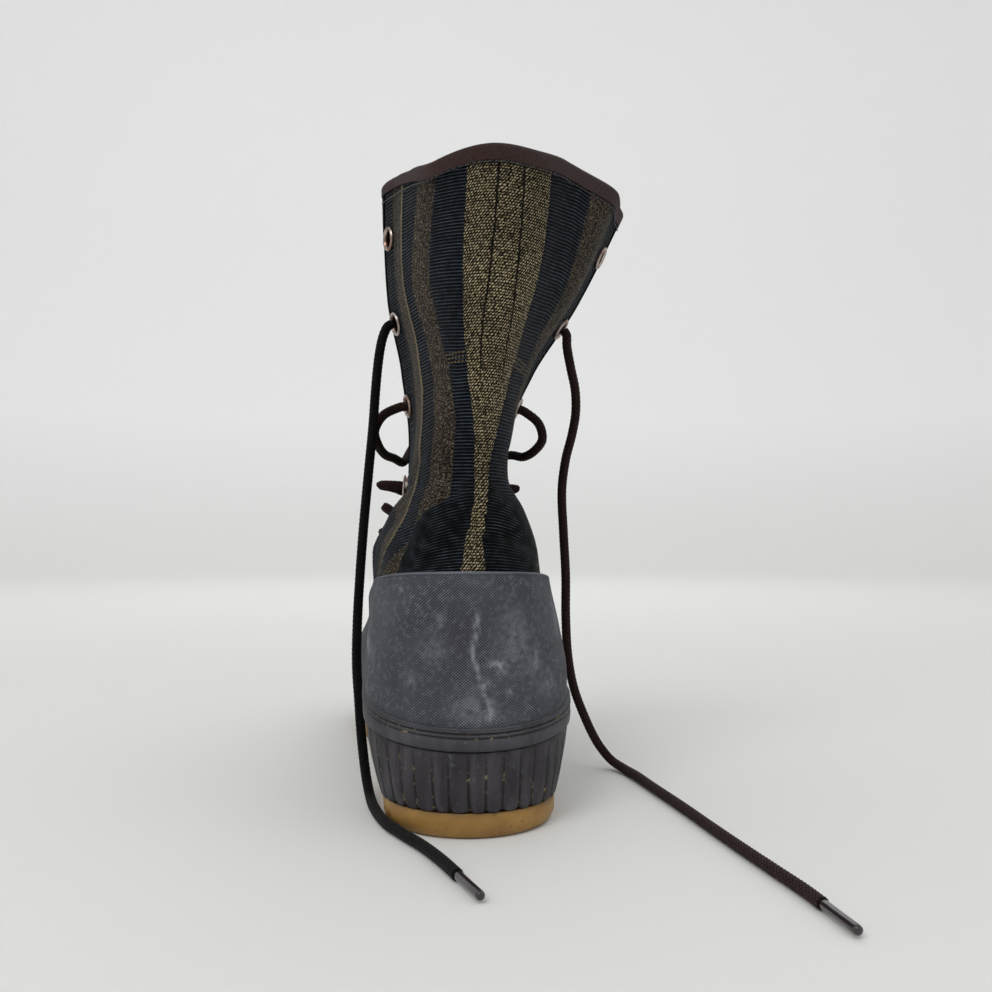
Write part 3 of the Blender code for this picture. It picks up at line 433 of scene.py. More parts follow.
for sum_kind in "add subtract multiply divide multiply_add sine absolute maximum fract".split():
    NODE_KINDS[sum_kind] = NodeKind("ShaderNodeMath", {"operation": sum_kind.upper()}, (0, 1, 2), 0)


def linear(hex_colour):
    """A linear RGBA colour from an sRGB hex value."""
    channels = [int(hex_colour[k:k + 2], 16) / 255 for k in (1, 3, 5)]
    return (*(c / 12.92 if c <= 0.04045 else ((c + 0.055) / 1.055) ** 2.4 for c in channels), 1.0)


def add_node(tree, kind, *values, **settings):
    """Add a node with its settings, link or set its inputs in order, and return its output.

    A value that starts with # is a colour's hex value. A kind with no output named returns the node.
    """
    known = NODE_KINDS[kind]
    made = tree.nodes.new(known.node)
    for name, value in {**known.settings, **settings}.items():
        setattr(made, name, value)
    for socket, value in zip(known.inputs, values):
        if isinstance(value, bpy.types.NodeSocket):
            tree.links.new(value, made.inputs[socket])
        else:
            made.inputs[socket].default_value = linear(value) if str(value).startswith("#") else value
    return made if known.output is None else made.outputs[known.output]


def new_material(name, roughness, metallic=0.0, **uniform):
    """A Principled material whose uniform values stand on the shader's own sockets."""
    made = bpy.data.materials.new(name)
    made.use_nodes = True
    tree = made.node_tree
    shader = tree.nodes["Principled BSDF"]
    shader.inputs["Roughness"].default_value = roughness
    shader.inputs["Metallic"].default_value = metallic
    for socket, value in uniform.items():
        shader.inputs[socket.replace("_", " ")].default_value = value
    return made, tree, shader


def dress(tree, shader, colour, height=None, depth=0.0, strength=1.0, roughness=None):
    """Link a colour to the shader and, where they are given, a bump of depth mm and a roughness."""
    tree.links.new(colour, shader.inputs["Base Color"])
    if height is not None:
        tree.links.new(add_node(tree, "bump", height, depth * MM, strength), shader.inputs["Normal"])
    if roughness is not None:
        tree.links.new(roughness, shader.inputs["Roughness"])


def ridges(tree, coordinate, pitch):
    """0 in the grooves and 1 along the ridges of a surface ribbed at a pitch."""
    wave = add_node(tree, "sine", add_node(tree, "multiply", coordinate, math.pi / pitch))
    return add_node(tree, "absolute", wave)


def near_line(tree, coordinate, place, half_width):
    """1 on a line where the coordinate is at a place, and 0 beyond half its width."""
    away = add_node(tree, "absolute", add_node(tree, "subtract", coordinate, place))
    return add_node(tree, "stretch", away, half_width, 0.6 * half_width)


def speckle(tree, size, detail=2.0, stretch=(1.0, 1.0, 1.0), seed=0.0):
    """Noise on object coordinates whose blobs are about size mm across, from 0 to 1."""
    shifted = add_node(tree, "mapping", add_node(tree, "place"), (seed, seed, seed), stretch)
    return add_node(tree, "noise", shifted, 0.5 / (size * MM), detail)


def blotches(tree, size, low, high, detail=2.0, **place):
    """Blobs about size mm across, as speckle stretched so that low becomes 0 and high becomes 1."""
    return add_node(tree, "stretch", speckle(tree, size, detail, **place), low, high)


def overlap(tree, *masks):
    """How far all the masks are on at once: their values multiplied together."""
    result = masks[0]
    for mask in masks[1:]:
        result = add_node(tree, "multiply", result, mask)
    return result


def colour_steps(tree, value, stops, interpolation="LINEAR", top=1.0):
    """The colours of (value, colour) stops as a value runs from 0 to top."""
    result = add_node(tree, "ramp", value if top == 1.0 else add_node(tree, "divide", value, top))
    ramp = result.node.color_ramp
    ramp.interpolation = interpolation
    while len(ramp.elements) < len(stops):
        ramp.elements.new(0.5)
    for element, (position, _) in zip(ramp.elements, stops):
        element.position = position / top
    for element, (_, colour) in zip(ramp.elements, stops):
        element.color = linear(colour) if isinstance(colour, str) else colour
    return result


# ---------------------------------------------------------------- materials
# The woven stripes are lanes, numbered from the outer facing's edge round the back to the inner facing's,
# and a border has the number of the lane that starts there.
LANES = 11
NAVY_LANES, WIDE_HEATHER, NARROW_HEATHER = (0, 2, 6, 8, 10), (1, 7), 9
TWEED_LANES, TWEED_MIDDLE, DOTTED_LANES = (3, 4, 5), 4, (2, 6)
HEATHER_END, TAN_SEAM, DASHED_BORDERS = 8, 9, (4, 5)
# Places in mm below the collar: the rows of pale dots, where the dark dashes end and start to fade, and
# where the gusset's ribs are level and fully arched.
DOT_RISE, DOT_ROWS, DOT_ROW_PITCH, DOT_PITCH = 76.0, 3, 1.7, 1.9
DASH_END, DASH_FADE = 96.0, 80.0
GUSSET_LEVEL, GUSSET_ARCHED = 161.0, 138.0


def lane_mask(tree, lane, on_lanes):
    """1 inside the numbered lanes and 0 outside, with a crisp woven border."""
    stops = [(k / LANES, "#ffffff" if k in on_lanes else "#000000") for k in range(LANES)]
    return colour_steps(tree, add_node(tree, "divide", lane, LANES), stops, "CONSTANT")


def outside(tree, mask):
    """1 where a mask is 0, and 0 where it is 1."""
    return add_node(tree, "subtract", 1.0, mask)


def navy_colour(tree, rib):
    """Corded navy: a near-black ground with a thin blue-grey line along each cord's top, which is painted
    highlight.
    """
    cord_highlight_and_wear = add_node(tree, "multiply_add", speckle(tree, 1.6, 3.0, seed=4.0), 0.25,
                         ridges(tree, rib, CORD_PITCH))
    # painted highlight: the cords' tops blue-grey on the near-black ground, mottled a little
    tones = (0.0, "#020304"), (0.89, "#05070b"), (1.03, "#191e27"), (1.16, "#47515d")
    return colour_steps(tree, cord_highlight_and_wear, tones, top=1.4)


def heather_colour(tree):
    """Heather: brown, grey and fawn yarns spun together, in short lengths along the weft."""
    yarn = speckle(tree, 0.5, 3.0, (1.0, 1.0, 2.4), 3.0)
    tones = (0.34, "#090806"), (0.45, "#1d1915"), (0.54, "#383129"), (0.66, "#7b6f5f")
    return colour_steps(tree, yarn, tones)


def tweed_colour(tree, lane, rise, arc):
    """Tweed: columns of short gold flecks that lean one way, in rows, with two dark broken lines."""
    leaning = add_node(tree, "multiply_add", rise, -FLECK_LEAN, arc)
    loose = add_node(tree, "multiply_add", lane_mask(tree, lane, (TWEED_MIDDLE,)), 1.6, 0.8)
    wander = add_node(tree, "multiply_add", speckle(tree, 1.5, 2.0, seed=5.0), loose, leaning)
    shade = add_node(tree, "multiply_add", speckle(tree, 0.5, 2.0, seed=9.0), 1.5, -0.72)
    rows = ridges(tree, rise, FLECK_ROW)
    picks = add_node(tree, "multiply_add", rows, 0.65, 0.35)
    fleck = add_node(tree, "multiply_add", ridges(tree, wander, FLECK_COLUMN), picks, shade)
    tones = (0.24, "#0d0c09"), (0.52, "#28231a"), (0.74, "#6a5e48"), (1.06, "#bbae8c")
    tweed = colour_steps(tree, fleck, tones)
    upper_part = add_node(tree, "stretch", rise, DASH_END, DASH_FADE)
    wavy = add_node(tree, "multiply_add", speckle(tree, 1.5, 1.0, seed=7.0), 0.1, lane)
    for border in DASHED_BORDERS:
        dash = overlap(tree, near_line(tree, wavy, border + 0.05, 0.05), upper_part,
                       add_node(tree, "stretch", rows, 0.1, 0.5))
        tweed = add_node(tree, "mix", dash, tweed, "#0e0e0d")
    return tweed


def striped_cloth_material():
    """Jacquard-woven wool and cotton: matt, with corded navy bands, heather bands and a flecked spine."""
    made, tree, shader = new_material("jacquard_cloth_woven", 0.92, Sheen_Weight=0.04, Sheen_Roughness=0.5,
                                      Specular_IOR_Level=0.08)
    lane, rise, arc, gusset, rib = (add_node(tree, "attribute", attribute_name=name)
                                    for name in ("lane", "rise", "arc", "gusset", "rib"))
    ragged = add_node(tree, "subtract", speckle(tree, 0.8), 0.5)
    lane = add_node(tree, "multiply_add", ragged, 0.04, lane)
    in_tweed = lane_mask(tree, lane, TWEED_LANES)
    in_any_heather = lane_mask(tree, lane, (*WIDE_HEATHER, NARROW_HEATHER))
    ground = add_node(tree, "mix", in_any_heather, navy_colour(tree, rib), heather_colour(tree))
    ground = add_node(tree, "mix", in_tweed, ground, tweed_colour(tree, lane, rise, arc))
    ground = add_node(tree, "mix", near_line(tree, lane, TAN_SEAM, 0.07), ground, "#75684d")
    for row in range(DOT_ROWS):
        spots = overlap(tree, near_line(tree, rise, DOT_RISE + row * DOT_ROW_PITCH, 0.5),
                        add_node(tree, "stretch", ridges(tree, arc, DOT_PITCH), 0.55, 0.8),
                        lane_mask(tree, lane, DOTTED_LANES))
        ground = add_node(tree, "mix", spots, ground, "#6b5d42")

    # gusset: black, its fine ribs arched over the spine, their tops painted grey as painted highlight
    spread = add_node(tree, "add", arc, SPINE_ARC)
    arched = add_node(tree, "stretch", rise, GUSSET_LEVEL, GUSSET_ARCHED)
    spread = overlap(tree, spread, spread, arched, -GUSSET_ARCH)
    fine_rib = ridges(tree, add_node(tree, "add", rise, spread), GUSSET_PITCH)
    thin = add_node(tree, "multiply_add", speckle(tree, 2.0, 2.0), 0.4, fine_rib)
    # painted highlight: the ribs' tops grey on the black
    tones = (0.0, "#000101"), (0.98, "#010203"), (1.12, "#101418"), (1.28, "#4b545d")
    black = colour_steps(tree, thin, tones, top=1.4)
    in_heather = lane_mask(tree, lane, WIDE_HEATHER)
    crisp = overlap(tree, add_node(tree, "stretch", gusset, -0.25, 0.25), in_heather)
    gradual = overlap(tree, add_node(tree, "stretch", gusset, 0.0, 6.0), outside(tree, in_heather))
    panel = overlap(tree, add_node(tree, "maximum", crisp, gradual), outside(tree, in_tweed))
    ground = add_node(tree, "mix", panel, ground, black)
    worn = add_node(tree, "mix", blotches(tree, 18.0, 0.35, 0.7, 3.0, seed=2.0), "#d4d4d4", "#ffffff")
    tinted = add_node(tree, "mix", 1.0, ground, worn, blend_type="MULTIPLY")
    corded = lane_mask(tree, lane, NAVY_LANES)
    cord = overlap(tree, ridges(tree, rib, CORD_PITCH), corded, outside(tree, panel))
    ribbed = add_node(tree, "multiply_add", panel, fine_rib, speckle(tree, 0.5))
    dress(tree, shader, tinted, add_node(tree, "add", ribbed, cord), 0.22, 0.8)
    return made


def plain_cloth_material(name, dark, light, pitch=0.9):
    """Plain-woven cotton: matt, with a fine even grain of threads both ways."""
    made, tree, shader = new_material(name, 0.92, Sheen_Weight=0.04, Specular_IOR_Level=0.08)
    x, y, z = add_node(tree, "axes", add_node(tree, "place")).outputs
    across = add_node(tree, "add", x, y)
    threads = overlap(tree, ridges(tree, across, pitch * MM), ridges(tree, z, pitch * MM))
    mottled = add_node(tree, "stretch", overlap(tree, threads, speckle(tree, 1.4)), 0.05, 0.5)
    dress(tree, shader, add_node(tree, "mix", mottled, dark, light), threads, 0.15)
    return made


def lining_cloth():
    """The black cotton of the lining and the tongue, made once."""
    return (bpy.data.materials.get("cotton_lining_woven")
            or plain_cloth_material("cotton_lining_woven", "#08090b", "#191a1e"))


def twill_tape_material(light):
    """Cotton twill tape: matt brown, with wales that slant down along it about 1 mm apart, their tops painted
    paler as painted highlight.
    """
    made, tree, shader = new_material("cotton_twill_tape_woven", 0.9, Sheen_Weight=0.08,
                                      Specular_IOR_Level=0.12)
    along, around = (add_node(tree, "attribute", attribute_name=name) for name in ("along", "around"))
    wale = ridges(tree, add_node(tree, "multiply_add", around, -TWILL_SLANT, along), TWILL_PITCH)
    yarn = add_node(tree, "multiply_add", speckle(tree, 0.5), 0.6, wale)
    # painted highlight: the wales' tops take the light tone
    tones = (0.2, "#120b0c"), (0.8, "#261919"), (1.35, light)
    dress(tree, shader, colour_steps(tree, yarn, tones, top=1.6), wale, 0.25)
    return made


def canvas_grain(tree, along, up, pitch):
    """1 on the raised diamonds left by a plain canvas and 0 in the threads between them."""
    steep = add_node(tree, "multiply", up, GRAIN_STEEP)
    return overlap(tree, ridges(tree, add_node(tree, "add", along, steep), pitch),
                   ridges(tree, add_node(tree, "subtract", along, steep), pitch))


def grey_rubber_material(dark, light):
    """Vulcanised rubber pressed against canvas: slate grey, matt, with a diamond grain and chalky scuffs; the
    grain's grooves are painted near-black as painted shade, and its diamonds' tops carry pale specks, partly
    chalk and partly painted highlight.
    """
    made, tree, shader = new_material("vulcanised_rubber_canvas_pressed", 0.68, Specular_IOR_Level=0.25)
    along, up, grained, scuff = (add_node(tree, "attribute", attribute_name=name)
                                 for name in ("along", "up", "grain", "scuff"))
    pressed = overlap(tree, canvas_grain(tree, along, up, CANVAS_PITCH),
                      add_node(tree, "stretch", grained, 0.0, 1.0))
    base = add_node(tree, "mix", blotches(tree, 9.0, 0.3, 0.7, 4.0, seed=1.0), dark, light)
    base = add_node(tree, "mix", blotches(tree, 30.0, 0.55, 0.75, seed=6.0), base, "#55545f")
    smooth_edge = add_node(tree, "stretch", grained, 0.6, 0.0)
    raised = add_node(tree, "maximum", add_node(tree, "multiply", pressed, 1.5), smooth_edge)
    # painted shade: the grooves between the raised diamonds near-black
    base = add_node(tree, "mix", raised, "#111215", base)
    # pale specks on the diamonds' tops: partly chalk, partly painted highlight
    chalk_and_highlight_patches = blotches(tree, 14.0, 0.48, 0.66, 4.0, seed=11.0)
    specks = overlap(tree, blotches(tree, 1.0, 0.50, 0.64, seed=8.0),
                     add_node(tree, "stretch", pressed, 0.35, 0.8),
                     add_node(tree, "multiply_add", chalk_and_highlight_patches, 0.45, 0.45))
    colour = add_node(tree, "mix", specks, base, "#9ba0a9")
    scuffed = overlap(tree, scuff, blotches(tree, 1.2, 0.32, 0.6, 3.0),
                      add_node(tree, "multiply_add", pressed, 0.8, 0.55))
    colour = add_node(tree, "mix", scuffed, colour, "#a9aeb6")
    dress(tree, shader, colour, pressed, 0.3,
          roughness=add_node(tree, "stretch", speckle(tree, 6.0, 3.0), 0.0, 1.0, 0.55, 0.8))
    return made


def dark_rubber_material(name, dark, light):
    """Moulded natural rubber: brown-grey, soft sheen, streaked, its grooves painted near-black as painted
    shade and flecked with grit.
    """
    made, tree, shader = new_material(name, 0.6, Specular_IOR_Level=0.3)
    base = add_node(tree, "mix", blotches(tree, 7.0, 0.3, 0.7, 4.0), dark, light)
    streaks = blotches(tree, 2.2, 0.45, 0.7, 3.0, stretch=(1.0, 1.0, 0.15), seed=2.0)
    base = add_node(tree, "mix", overlap(tree, streaks, 0.5), base, "#504d52")
    groove = add_node(tree, "attribute", attribute_name="dust")
    # painted shade: near-black in the grooves
    base = add_node(tree, "mix", overlap(tree, groove, 0.9), base, "#111013")
    grit = overlap(tree, add_node(tree, "stretch", groove, 0.1, 0.6),
                   blotches(tree, 1.0, 0.58, 0.64, seed=3.0), blotches(tree, 12.0, 0.45, 0.6, seed=5.0))
    base = add_node(tree, "mix", grit, base, "#8a7a55")
    chalk = overlap(tree, blotches(tree, 1.1, 0.62, 0.76, 3.0, seed=13.0), 0.3)
    dress(tree, shader, add_node(tree, "mix", chalk, base, "#74757b"), speckle(tree, 0.9, 4.0), 0.10,
          roughness=add_node(tree, "stretch", speckle(tree, 4.0, 3.0), 0.0, 1.0, 0.45, 0.72))
    return made


def gum_rubber_material(dark, light):
    """Gum crepe rubber, moulded: translucent amber, darkened towards its top and underside, partly dirt and
    partly painted shade.
    """
    made, tree, shader = new_material("gum_rubber_moulded", 0.5, Subsurface_Weight=0.1,
                                      Subsurface_Radius=(0.006, 0.003, 0.001), Specular_IOR_Level=0.35)
    base = add_node(tree, "mix", blotches(tree, 9.0, 0.3, 0.7, 4.0), dark, light)
    soil = add_node(tree, "attribute", attribute_name="soil")
    # darker towards the top and underside: dirt and painted shade
    base = add_node(tree, "mix", overlap(tree, soil, blotches(tree, 3.0, 0.2, 0.7, 4.0)), base, "#4b351f")
    grit = overlap(tree, blotches(tree, 1.0, 0.62, 0.7, 3.0, seed=4.0), 0.5)
    dress(tree, shader, add_node(tree, "mix", grit, base, "#5b452b"), speckle(tree, 1.2, 4.0), 0.1)
    return made


def nickel_material():
    """Nickel-plated brass, stamped and rolled: polished, with worn warm patches and a satin edge; its bore
    painted dark brown as painted shade inside the hole.
    """
    made, tree, shader = new_material("nickel_plated_brass_stamped", 0.28, 1.0)
    tone = add_node(tree, "mix", blotches(tree, 2.0, 0.4, 0.65, 3.0), "#b3a8a2", "#84695b")
    # painted shade: the bore's funnel dark brown
    tone = add_node(tree, "mix", add_node(tree, "attribute", attribute_name="inside"), tone, "#26160f")
    satin = add_node(tree, "stretch", speckle(tree, 1.0, 3.0), 0.0, 1.0, 0.2, 0.42)
    dress(tree, shader, tone, roughness=satin)
    return made


def lace_material(name, dark, light):
    """Braided polyester: soft matt plaits whose tops take the lit tone as painted highlight, with darker gaps
    between them as painted shade.
    """
    made, tree, shader = new_material(name, 0.85, Sheen_Weight=0.06, Specular_IOR_Level=0.12)
    plait = add_node(tree, "attribute", attribute_name="plait")
    fibre = add_node(tree, "multiply_add", speckle(tree, 0.35), 0.35, plait)
    # painted shade in the gaps, painted highlight on the plaits' tops
    tones = (0.15, "#050405"), (0.6, dark), (1.0, light)
    dress(tree, shader, colour_steps(tree, fibre, tones), fibre, 0.15)
    return made


def brown_lace(light):
    """The brown lace's own material, made once for its hidden runs and its free end."""
    return (bpy.data.materials.get("polyester_braid_brown")
            or lace_material("polyester_braid_brown", "#261716", light))


def aglet_material():
    """Clear-coated cellulose acetate, heat-shrunk: glossy and almost black."""
    made, tree, shader = new_material("acetate_shrunk", 0.22, Coat_Weight=0.5, Coat_Roughness=0.1)
    dress(tree, shader, add_node(tree, "mix", speckle(tree, 3.0), "#171012", "#33262a"))
    return made


def thread_material():
    """Polyester sewing thread, twisted: dark, with a slight sheen."""
    made, tree, shader = new_material("polyester_thread_twisted", 0.6, Sheen_Weight=0.2)
    dress(tree, shader, add_node(tree, "mix", speckle(tree, 0.5), "#14141a", "#2c2c33"))
    return made


def floor_material(light):
    """Matt painted board: even pale grey, a little darker underfoot than on the wall it sweeps up to; the
    difference is painted light and shade.
    """
    made, tree, shader = new_material("board_painted", 0.9, Specular_IOR_Level=0.1)
    height = add_node(tree, "axes", add_node(tree, "place")).outputs[2]
    # painted light: the wall paler than the floor underfoot, which holds painted shade
    dress(tree, shader, add_node(tree, "mix", add_node(tree, "stretch", height, 0.0, 0.5), light, "#f6f6f6"))
    return made


# ---------------------------------------------------------------- shaft
CORD_PITCH, GUSSET_PITCH, GUSSET_ARCH = 1.3, 1.2, 0.018  # ribs of the navy bands, and of the gusset
FLECK_COLUMN, FLECK_ROW, FLECK_LEAN = 1.25, 1.1, 0.75  # spacing of the tweed's flecks, and their lean
SPINE_ARC = 3.0  # the spine's middle lies this far to the outer side
SHAFT_COLUMNS, SHAFT_ROW = 120, CORD_PITCH / 3  # cells round the shaft, and mm between its rows
LINING_COLUMNS, LINING_ROW = 60, 2.0
FOOT_COLUMNS, FOOT_ROWS, FOOT_LOWEST = 160, 40, 0.25  # cells of the foot's lining, and its lowest girth
LAYER_GAP = 0.05  # mm between the outer cloth and its lining
SEAM_HEIGHT, GUSSET_HEIGHT = 0.6, 0.5  # how far the tan seam and the gusset stand out
CORD_DEPTH, RIB_LEAN, RIB_TILT = 0.45, 0.15, 0.15  # height of a cord; how the cords dip and then run level
CORD_SINK = 0.6  # share of a cord's height that lies below the plain cloth
STRAIGHT_IN, STRAIGHT_OUT, LEAN_OUT = 10.0, 20.0, 42.0  # mm from the back line where the cords change slope
TUCKED = 8.0  # the cloth runs this far down inside the rubber
SHAFT_FOOT = 3.4  # lowest girth that the cloth reaches anywhere

# Arc in mm round the skin from the back line to each stripe's border, + on the inner side.
STRIPE_LEVELS = (3.4, 4.0, 5.0, 5.7, 6.3, 7.0, 7.6, 8.3, 9.0, 9.6, 10.2, 11.0, 12.0)
STRIPES = (
    (-60, -56, -53, -52, -51.5, -51, -52, -55, -60, -66, -72, -78, -80),  # heather
    (-28.7, -28.7, -28.6, -28.5, -28.6, -29, -29.9, -31.9, -35.7, -40.7, -45.8, -50.4, -51.2),  # navy
    (-8.8, -7.8, -6, -5, -4.8, -5.8, -7, -8.6, -11.6, -17.2, -22, -23.1, -20.8),  # tweed
    (-5, -4, -3.2, -3, -3.3, -4.4, -5.6, -6.8, -8.4, -10.4, -10.4, -8.9, -7.3),  # dashes
    (4, 3, 1.4, -0.2, -1.6, -3.1, -3.9, -3.8, -2.2, 0.6, 1.9, 1.9, 2.7),  # dashes
    (10.2, 8, 4.3, 2.1, 0.3, -1.4, -2.1, -1.5, 1.1, 5.4, 9.4, 12.7, 15.1),  # navy
    (16, 14, 11, 9.5, 8.6, 8, 7.2, 6.9, 8.5, 14.9, 24.8, 33, 30.4),  # heather
    (84, 74, 56, 36, 21.5, 20.2, 19.4, 19.8, 22.7, 28.9, 38.5, 49.5, 44.5),  # navy
    (97, 84, 66, 49, 37, 30.5, 31.4, 33.9, 37.3, 42.3, 49.2, 60, 67.4),  # tan seam
    (114, 100, 86, 69, 57, 52.5, 54.5, 57.5, 61.5, 66, 71, 78, 83),  # facing
)

# The gusset's two edges as levels and arcs, which meet at its top.
GUSSET_IN = ((4.0, 5.0, 5.44, 6.16, 6.76, 7.12, 7.3, 7.6, 7.75, 8.1),
             (44.0, 35.0, 31.0, 24.3, 17.9, 10.3, 7.5, 5.5, 4.0, -8.0))
GUSSET_OUT = ((4.0, 5.0, 5.4, 5.8, 6.1, 6.56, 7.2, 7.75, 8.1),
              (-32.0, -33.0, -33.5, -38.5, -35.5, -28.4, -22.6, -12.0, -2.0))

# Soft folds and puffs: where each lies, how it tilts, its length and width, and how far it stands out.
Fold = namedtuple("Fold", "arc rise tilt length width depth")
FOLDS = (
    Fold(15.0, 139.0, 12.0, 10.0, 11.0, 3.0), Fold(-21.0, 140.0, -12.0, 10.0, 10.0, 2.4),
    Fold(-3.5, 141.0, 90.0, 14.0, 4.0, -2.4), Fold(-19.0, 147.0, -14.0, 12.0, 2.4, -1.7),
    Fold(-26.0, 154.0, 10.0, 10.0, 2.6, 1.1), Fold(21.0, 156.0, 8.0, 12.0, 2.4, -0.9),
    Fold(46.0, 120.0, 22.0, 17.0, 3.4, -1.3), Fold(50.0, 129.0, 16.0, 19.0, 3.2, 1.2),
    Fold(52.0, 138.0, 12.0, 17.0, 3.2, -1.2), Fold(-52.0, 119.0, -24.0, 17.0, 3.4, -1.4),
    Fold(-56.0, 128.0, -18.0, 19.0, 3.2, 1.2), Fold(-58.0, 137.0, -14.0, 17.0, 3.2, -1.3),
    Fold(84.0, 146.0, 40.0, 14.0, 3.6, -1.1), Fold(-88.0, 145.0, -38.0, 14.0, 3.6, -1.2),
    Fold(30.0, 84.0, 8.0, 26.0, 6.0, -0.5), Fold(-34.0, 88.0, -10.0, 22.0, 6.0, -0.6),
    Fold(12.0, 40.0, 80.0, 26.0, 12.0, 0.4), Fold(-38.0, 44.0, 95.0, 28.0, 12.0, -0.5),
    Fold(58.0, 50.0, 82.0, 26.0, 12.0, -0.5),
)


def fold_height(turn, level, arc, rise):
    """How far the soft shaft stands in or out of its plain form, in mm."""
    total = np.zeros(np.broadcast(turn, level).shape)
    for fold in FOLDS:
        away, down, tilt = arc - fold.arc, rise - fold.rise, math.radians(fold.tilt)
        along = (away * math.cos(tilt) + down * math.sin(tilt)) / fold.length
        across = (down * math.cos(tilt) - away * math.sin(tilt)) / fold.width
        total += fold.depth * np.exp(-along ** 2 - across ** 2)
    quiet = 1 - step(np.abs(turn), facing_turn(level) - 0.16, facing_turn(level) - 0.08)
    return total * quiet * (1 - step(level, 11.5, 11.9))


def shaft_grid(columns, row_height):
    """Turns and levels of a grid over the shaft, with rows level with the collar, and its heights."""
    fine = np.linspace(SHAFT_FOOT, COLLAR, 400)
    heights = smooth(fine, range(len(GIRTHS)), GIRTHS[:, 1])
    levels = np.interp(np.arange(heights[-1], heights[0], -row_height)[::-1], heights, fine)
    share = np.linspace(-1.0, 1.0, columns + 1)
    level, across = np.meshgrid(levels, share, indexing="ij")
    return across * facing_turn(level), level


def round_holes(points, cells, radius):
    """Open a round hole of a radius behind each eyelet, and move its rim onto the true circle."""
    keep = cells.copy()
    for eyelet in EYELETS:
        away = points - eyelet.centre
        height = away @ eyelet.outward
        flat = away - height[..., None] * eyelet.outward
        distance = np.linalg.norm(flat, axis=-1)
        distance = np.where(np.abs(height) < 3 * WALL, distance, np.inf)
        inside = distance < radius
        gone = inside[:-1, :-1] | inside[1:, :-1] | inside[:-1, 1:] | inside[1:, 1:]
        keep &= ~gone
        rim = np.zeros(inside.shape, dtype=bool)
        for r, c in ((0, 0), (1, 0), (0, 1), (1, 1)):
            rim[r: r + gone.shape[0], c: c + gone.shape[1]] |= gone
        rim &= ~inside
        scale = (radius / np.where(rim, distance, 1.0))[..., None]
        points[rim] = (eyelet.centre + height[..., None] * eyelet.outward + flat * scale)[rim]
    return keep


def kept_cells(turn, level):
    """Cells of a shaft grid that aren't deep inside the rubber."""
    foot = level_at(turn[0], RUBBER_TOP, -TUCKED)
    above = level >= foot[None]
    return above[1:, 1:] & above[1:, :-1]


def ground_of_cloth(turn, level):
    """The lane number, arc from the back line and rise below the collar at each point."""
    run = run_along(last_point(turn, level), axis=1)
    middle = turn.shape[1] // 2
    arc = run - run[:, middle:middle + 1]
    borders = np.stack([smooth(level[:, 0], STRIPE_LEVELS, stripe) for stripe in STRIPES], axis=1)
    lane = np.empty_like(arc)
    for row in range(len(arc)):
        places = np.concatenate([[min(arc[row, 0], borders[row, 0] - 5)], borders[row],
                                 [max(arc[row, -1], borders[row, -1] + 5)]])
        lane[row] = np.interp(arc[row], places, np.arange(LANES + 1))
    back = smooth(level[:, 0], range(len(GIRTHS)), GIRTHS[:, 1])
    rise = np.broadcast_to((back[-1] - back)[:, None], arc.shape)
    return lane, arc, rise


def rib_lines(level, arc, rise):
    """How far down the cords each point lies: level over the heel, and leaning a little at the sides."""
    heather_edge = smooth(level[:, 0], STRIPE_LEVELS, STRIPES[HEATHER_END - 1])[:, None]
    straight = np.maximum(0.0, arc - STRAIGHT_IN) + 0.7 * np.maximum(0.0, -arc - STRAIGHT_OUT)
    straight *= RIB_TILT * step(level, 8.4, 9.8)
    lean = np.maximum(0.0, arc - heather_edge) + np.maximum(0.0, -arc - LEAN_OUT)
    return rise + straight - RIB_LEAN * lean


def woven_height(level, lane, rib, gusset):
    """How far the cords, the tan seam and the gusset stand out of the plain cloth, in mm."""
    corded = np.zeros_like(lane)
    for start in NAVY_LANES:
        end = start + 1
        inside = step(lane, start - 0.02, start + 0.06) * (1 - step(lane, end - 0.06, end + 0.02))
        corded = np.maximum(corded, inside)
    cord = CORD_DEPTH * corded * (np.abs(np.sin(np.pi * rib / CORD_PITCH)) - CORD_SINK)
    seam = SEAM_HEIGHT * np.exp(-((lane - TAN_SEAM) / 0.12) ** 2) * (1 - step(gusset, -1.0, 0.0))
    raised = GUSSET_HEIGHT * step(gusset, -0.3, 0.6) * step(level, 7.5, 7.0)
    return cord * (1 - step(gusset, -0.5, 3.0)) + seam + raised


def cloth_layer(turn, level, arc, rise, proud, deep):
    """The outer and inner points of a layer of the shaft, and its cells without the eyelet holes."""
    base, normal = last_point(turn, level), last_normal(turn, level)
    soft = fold_height(turn, level, arc, rise)
    outer = base + (soft + proud)[..., None] * normal
    inner = base + (soft - deep)[..., None] * normal
    cells, hole = kept_cells(turn, level), EYELET_BARREL / 2 + GAP
    round_holes(inner, cells, hole)
    return outer, inner, round_holes(outer, cells, hole)


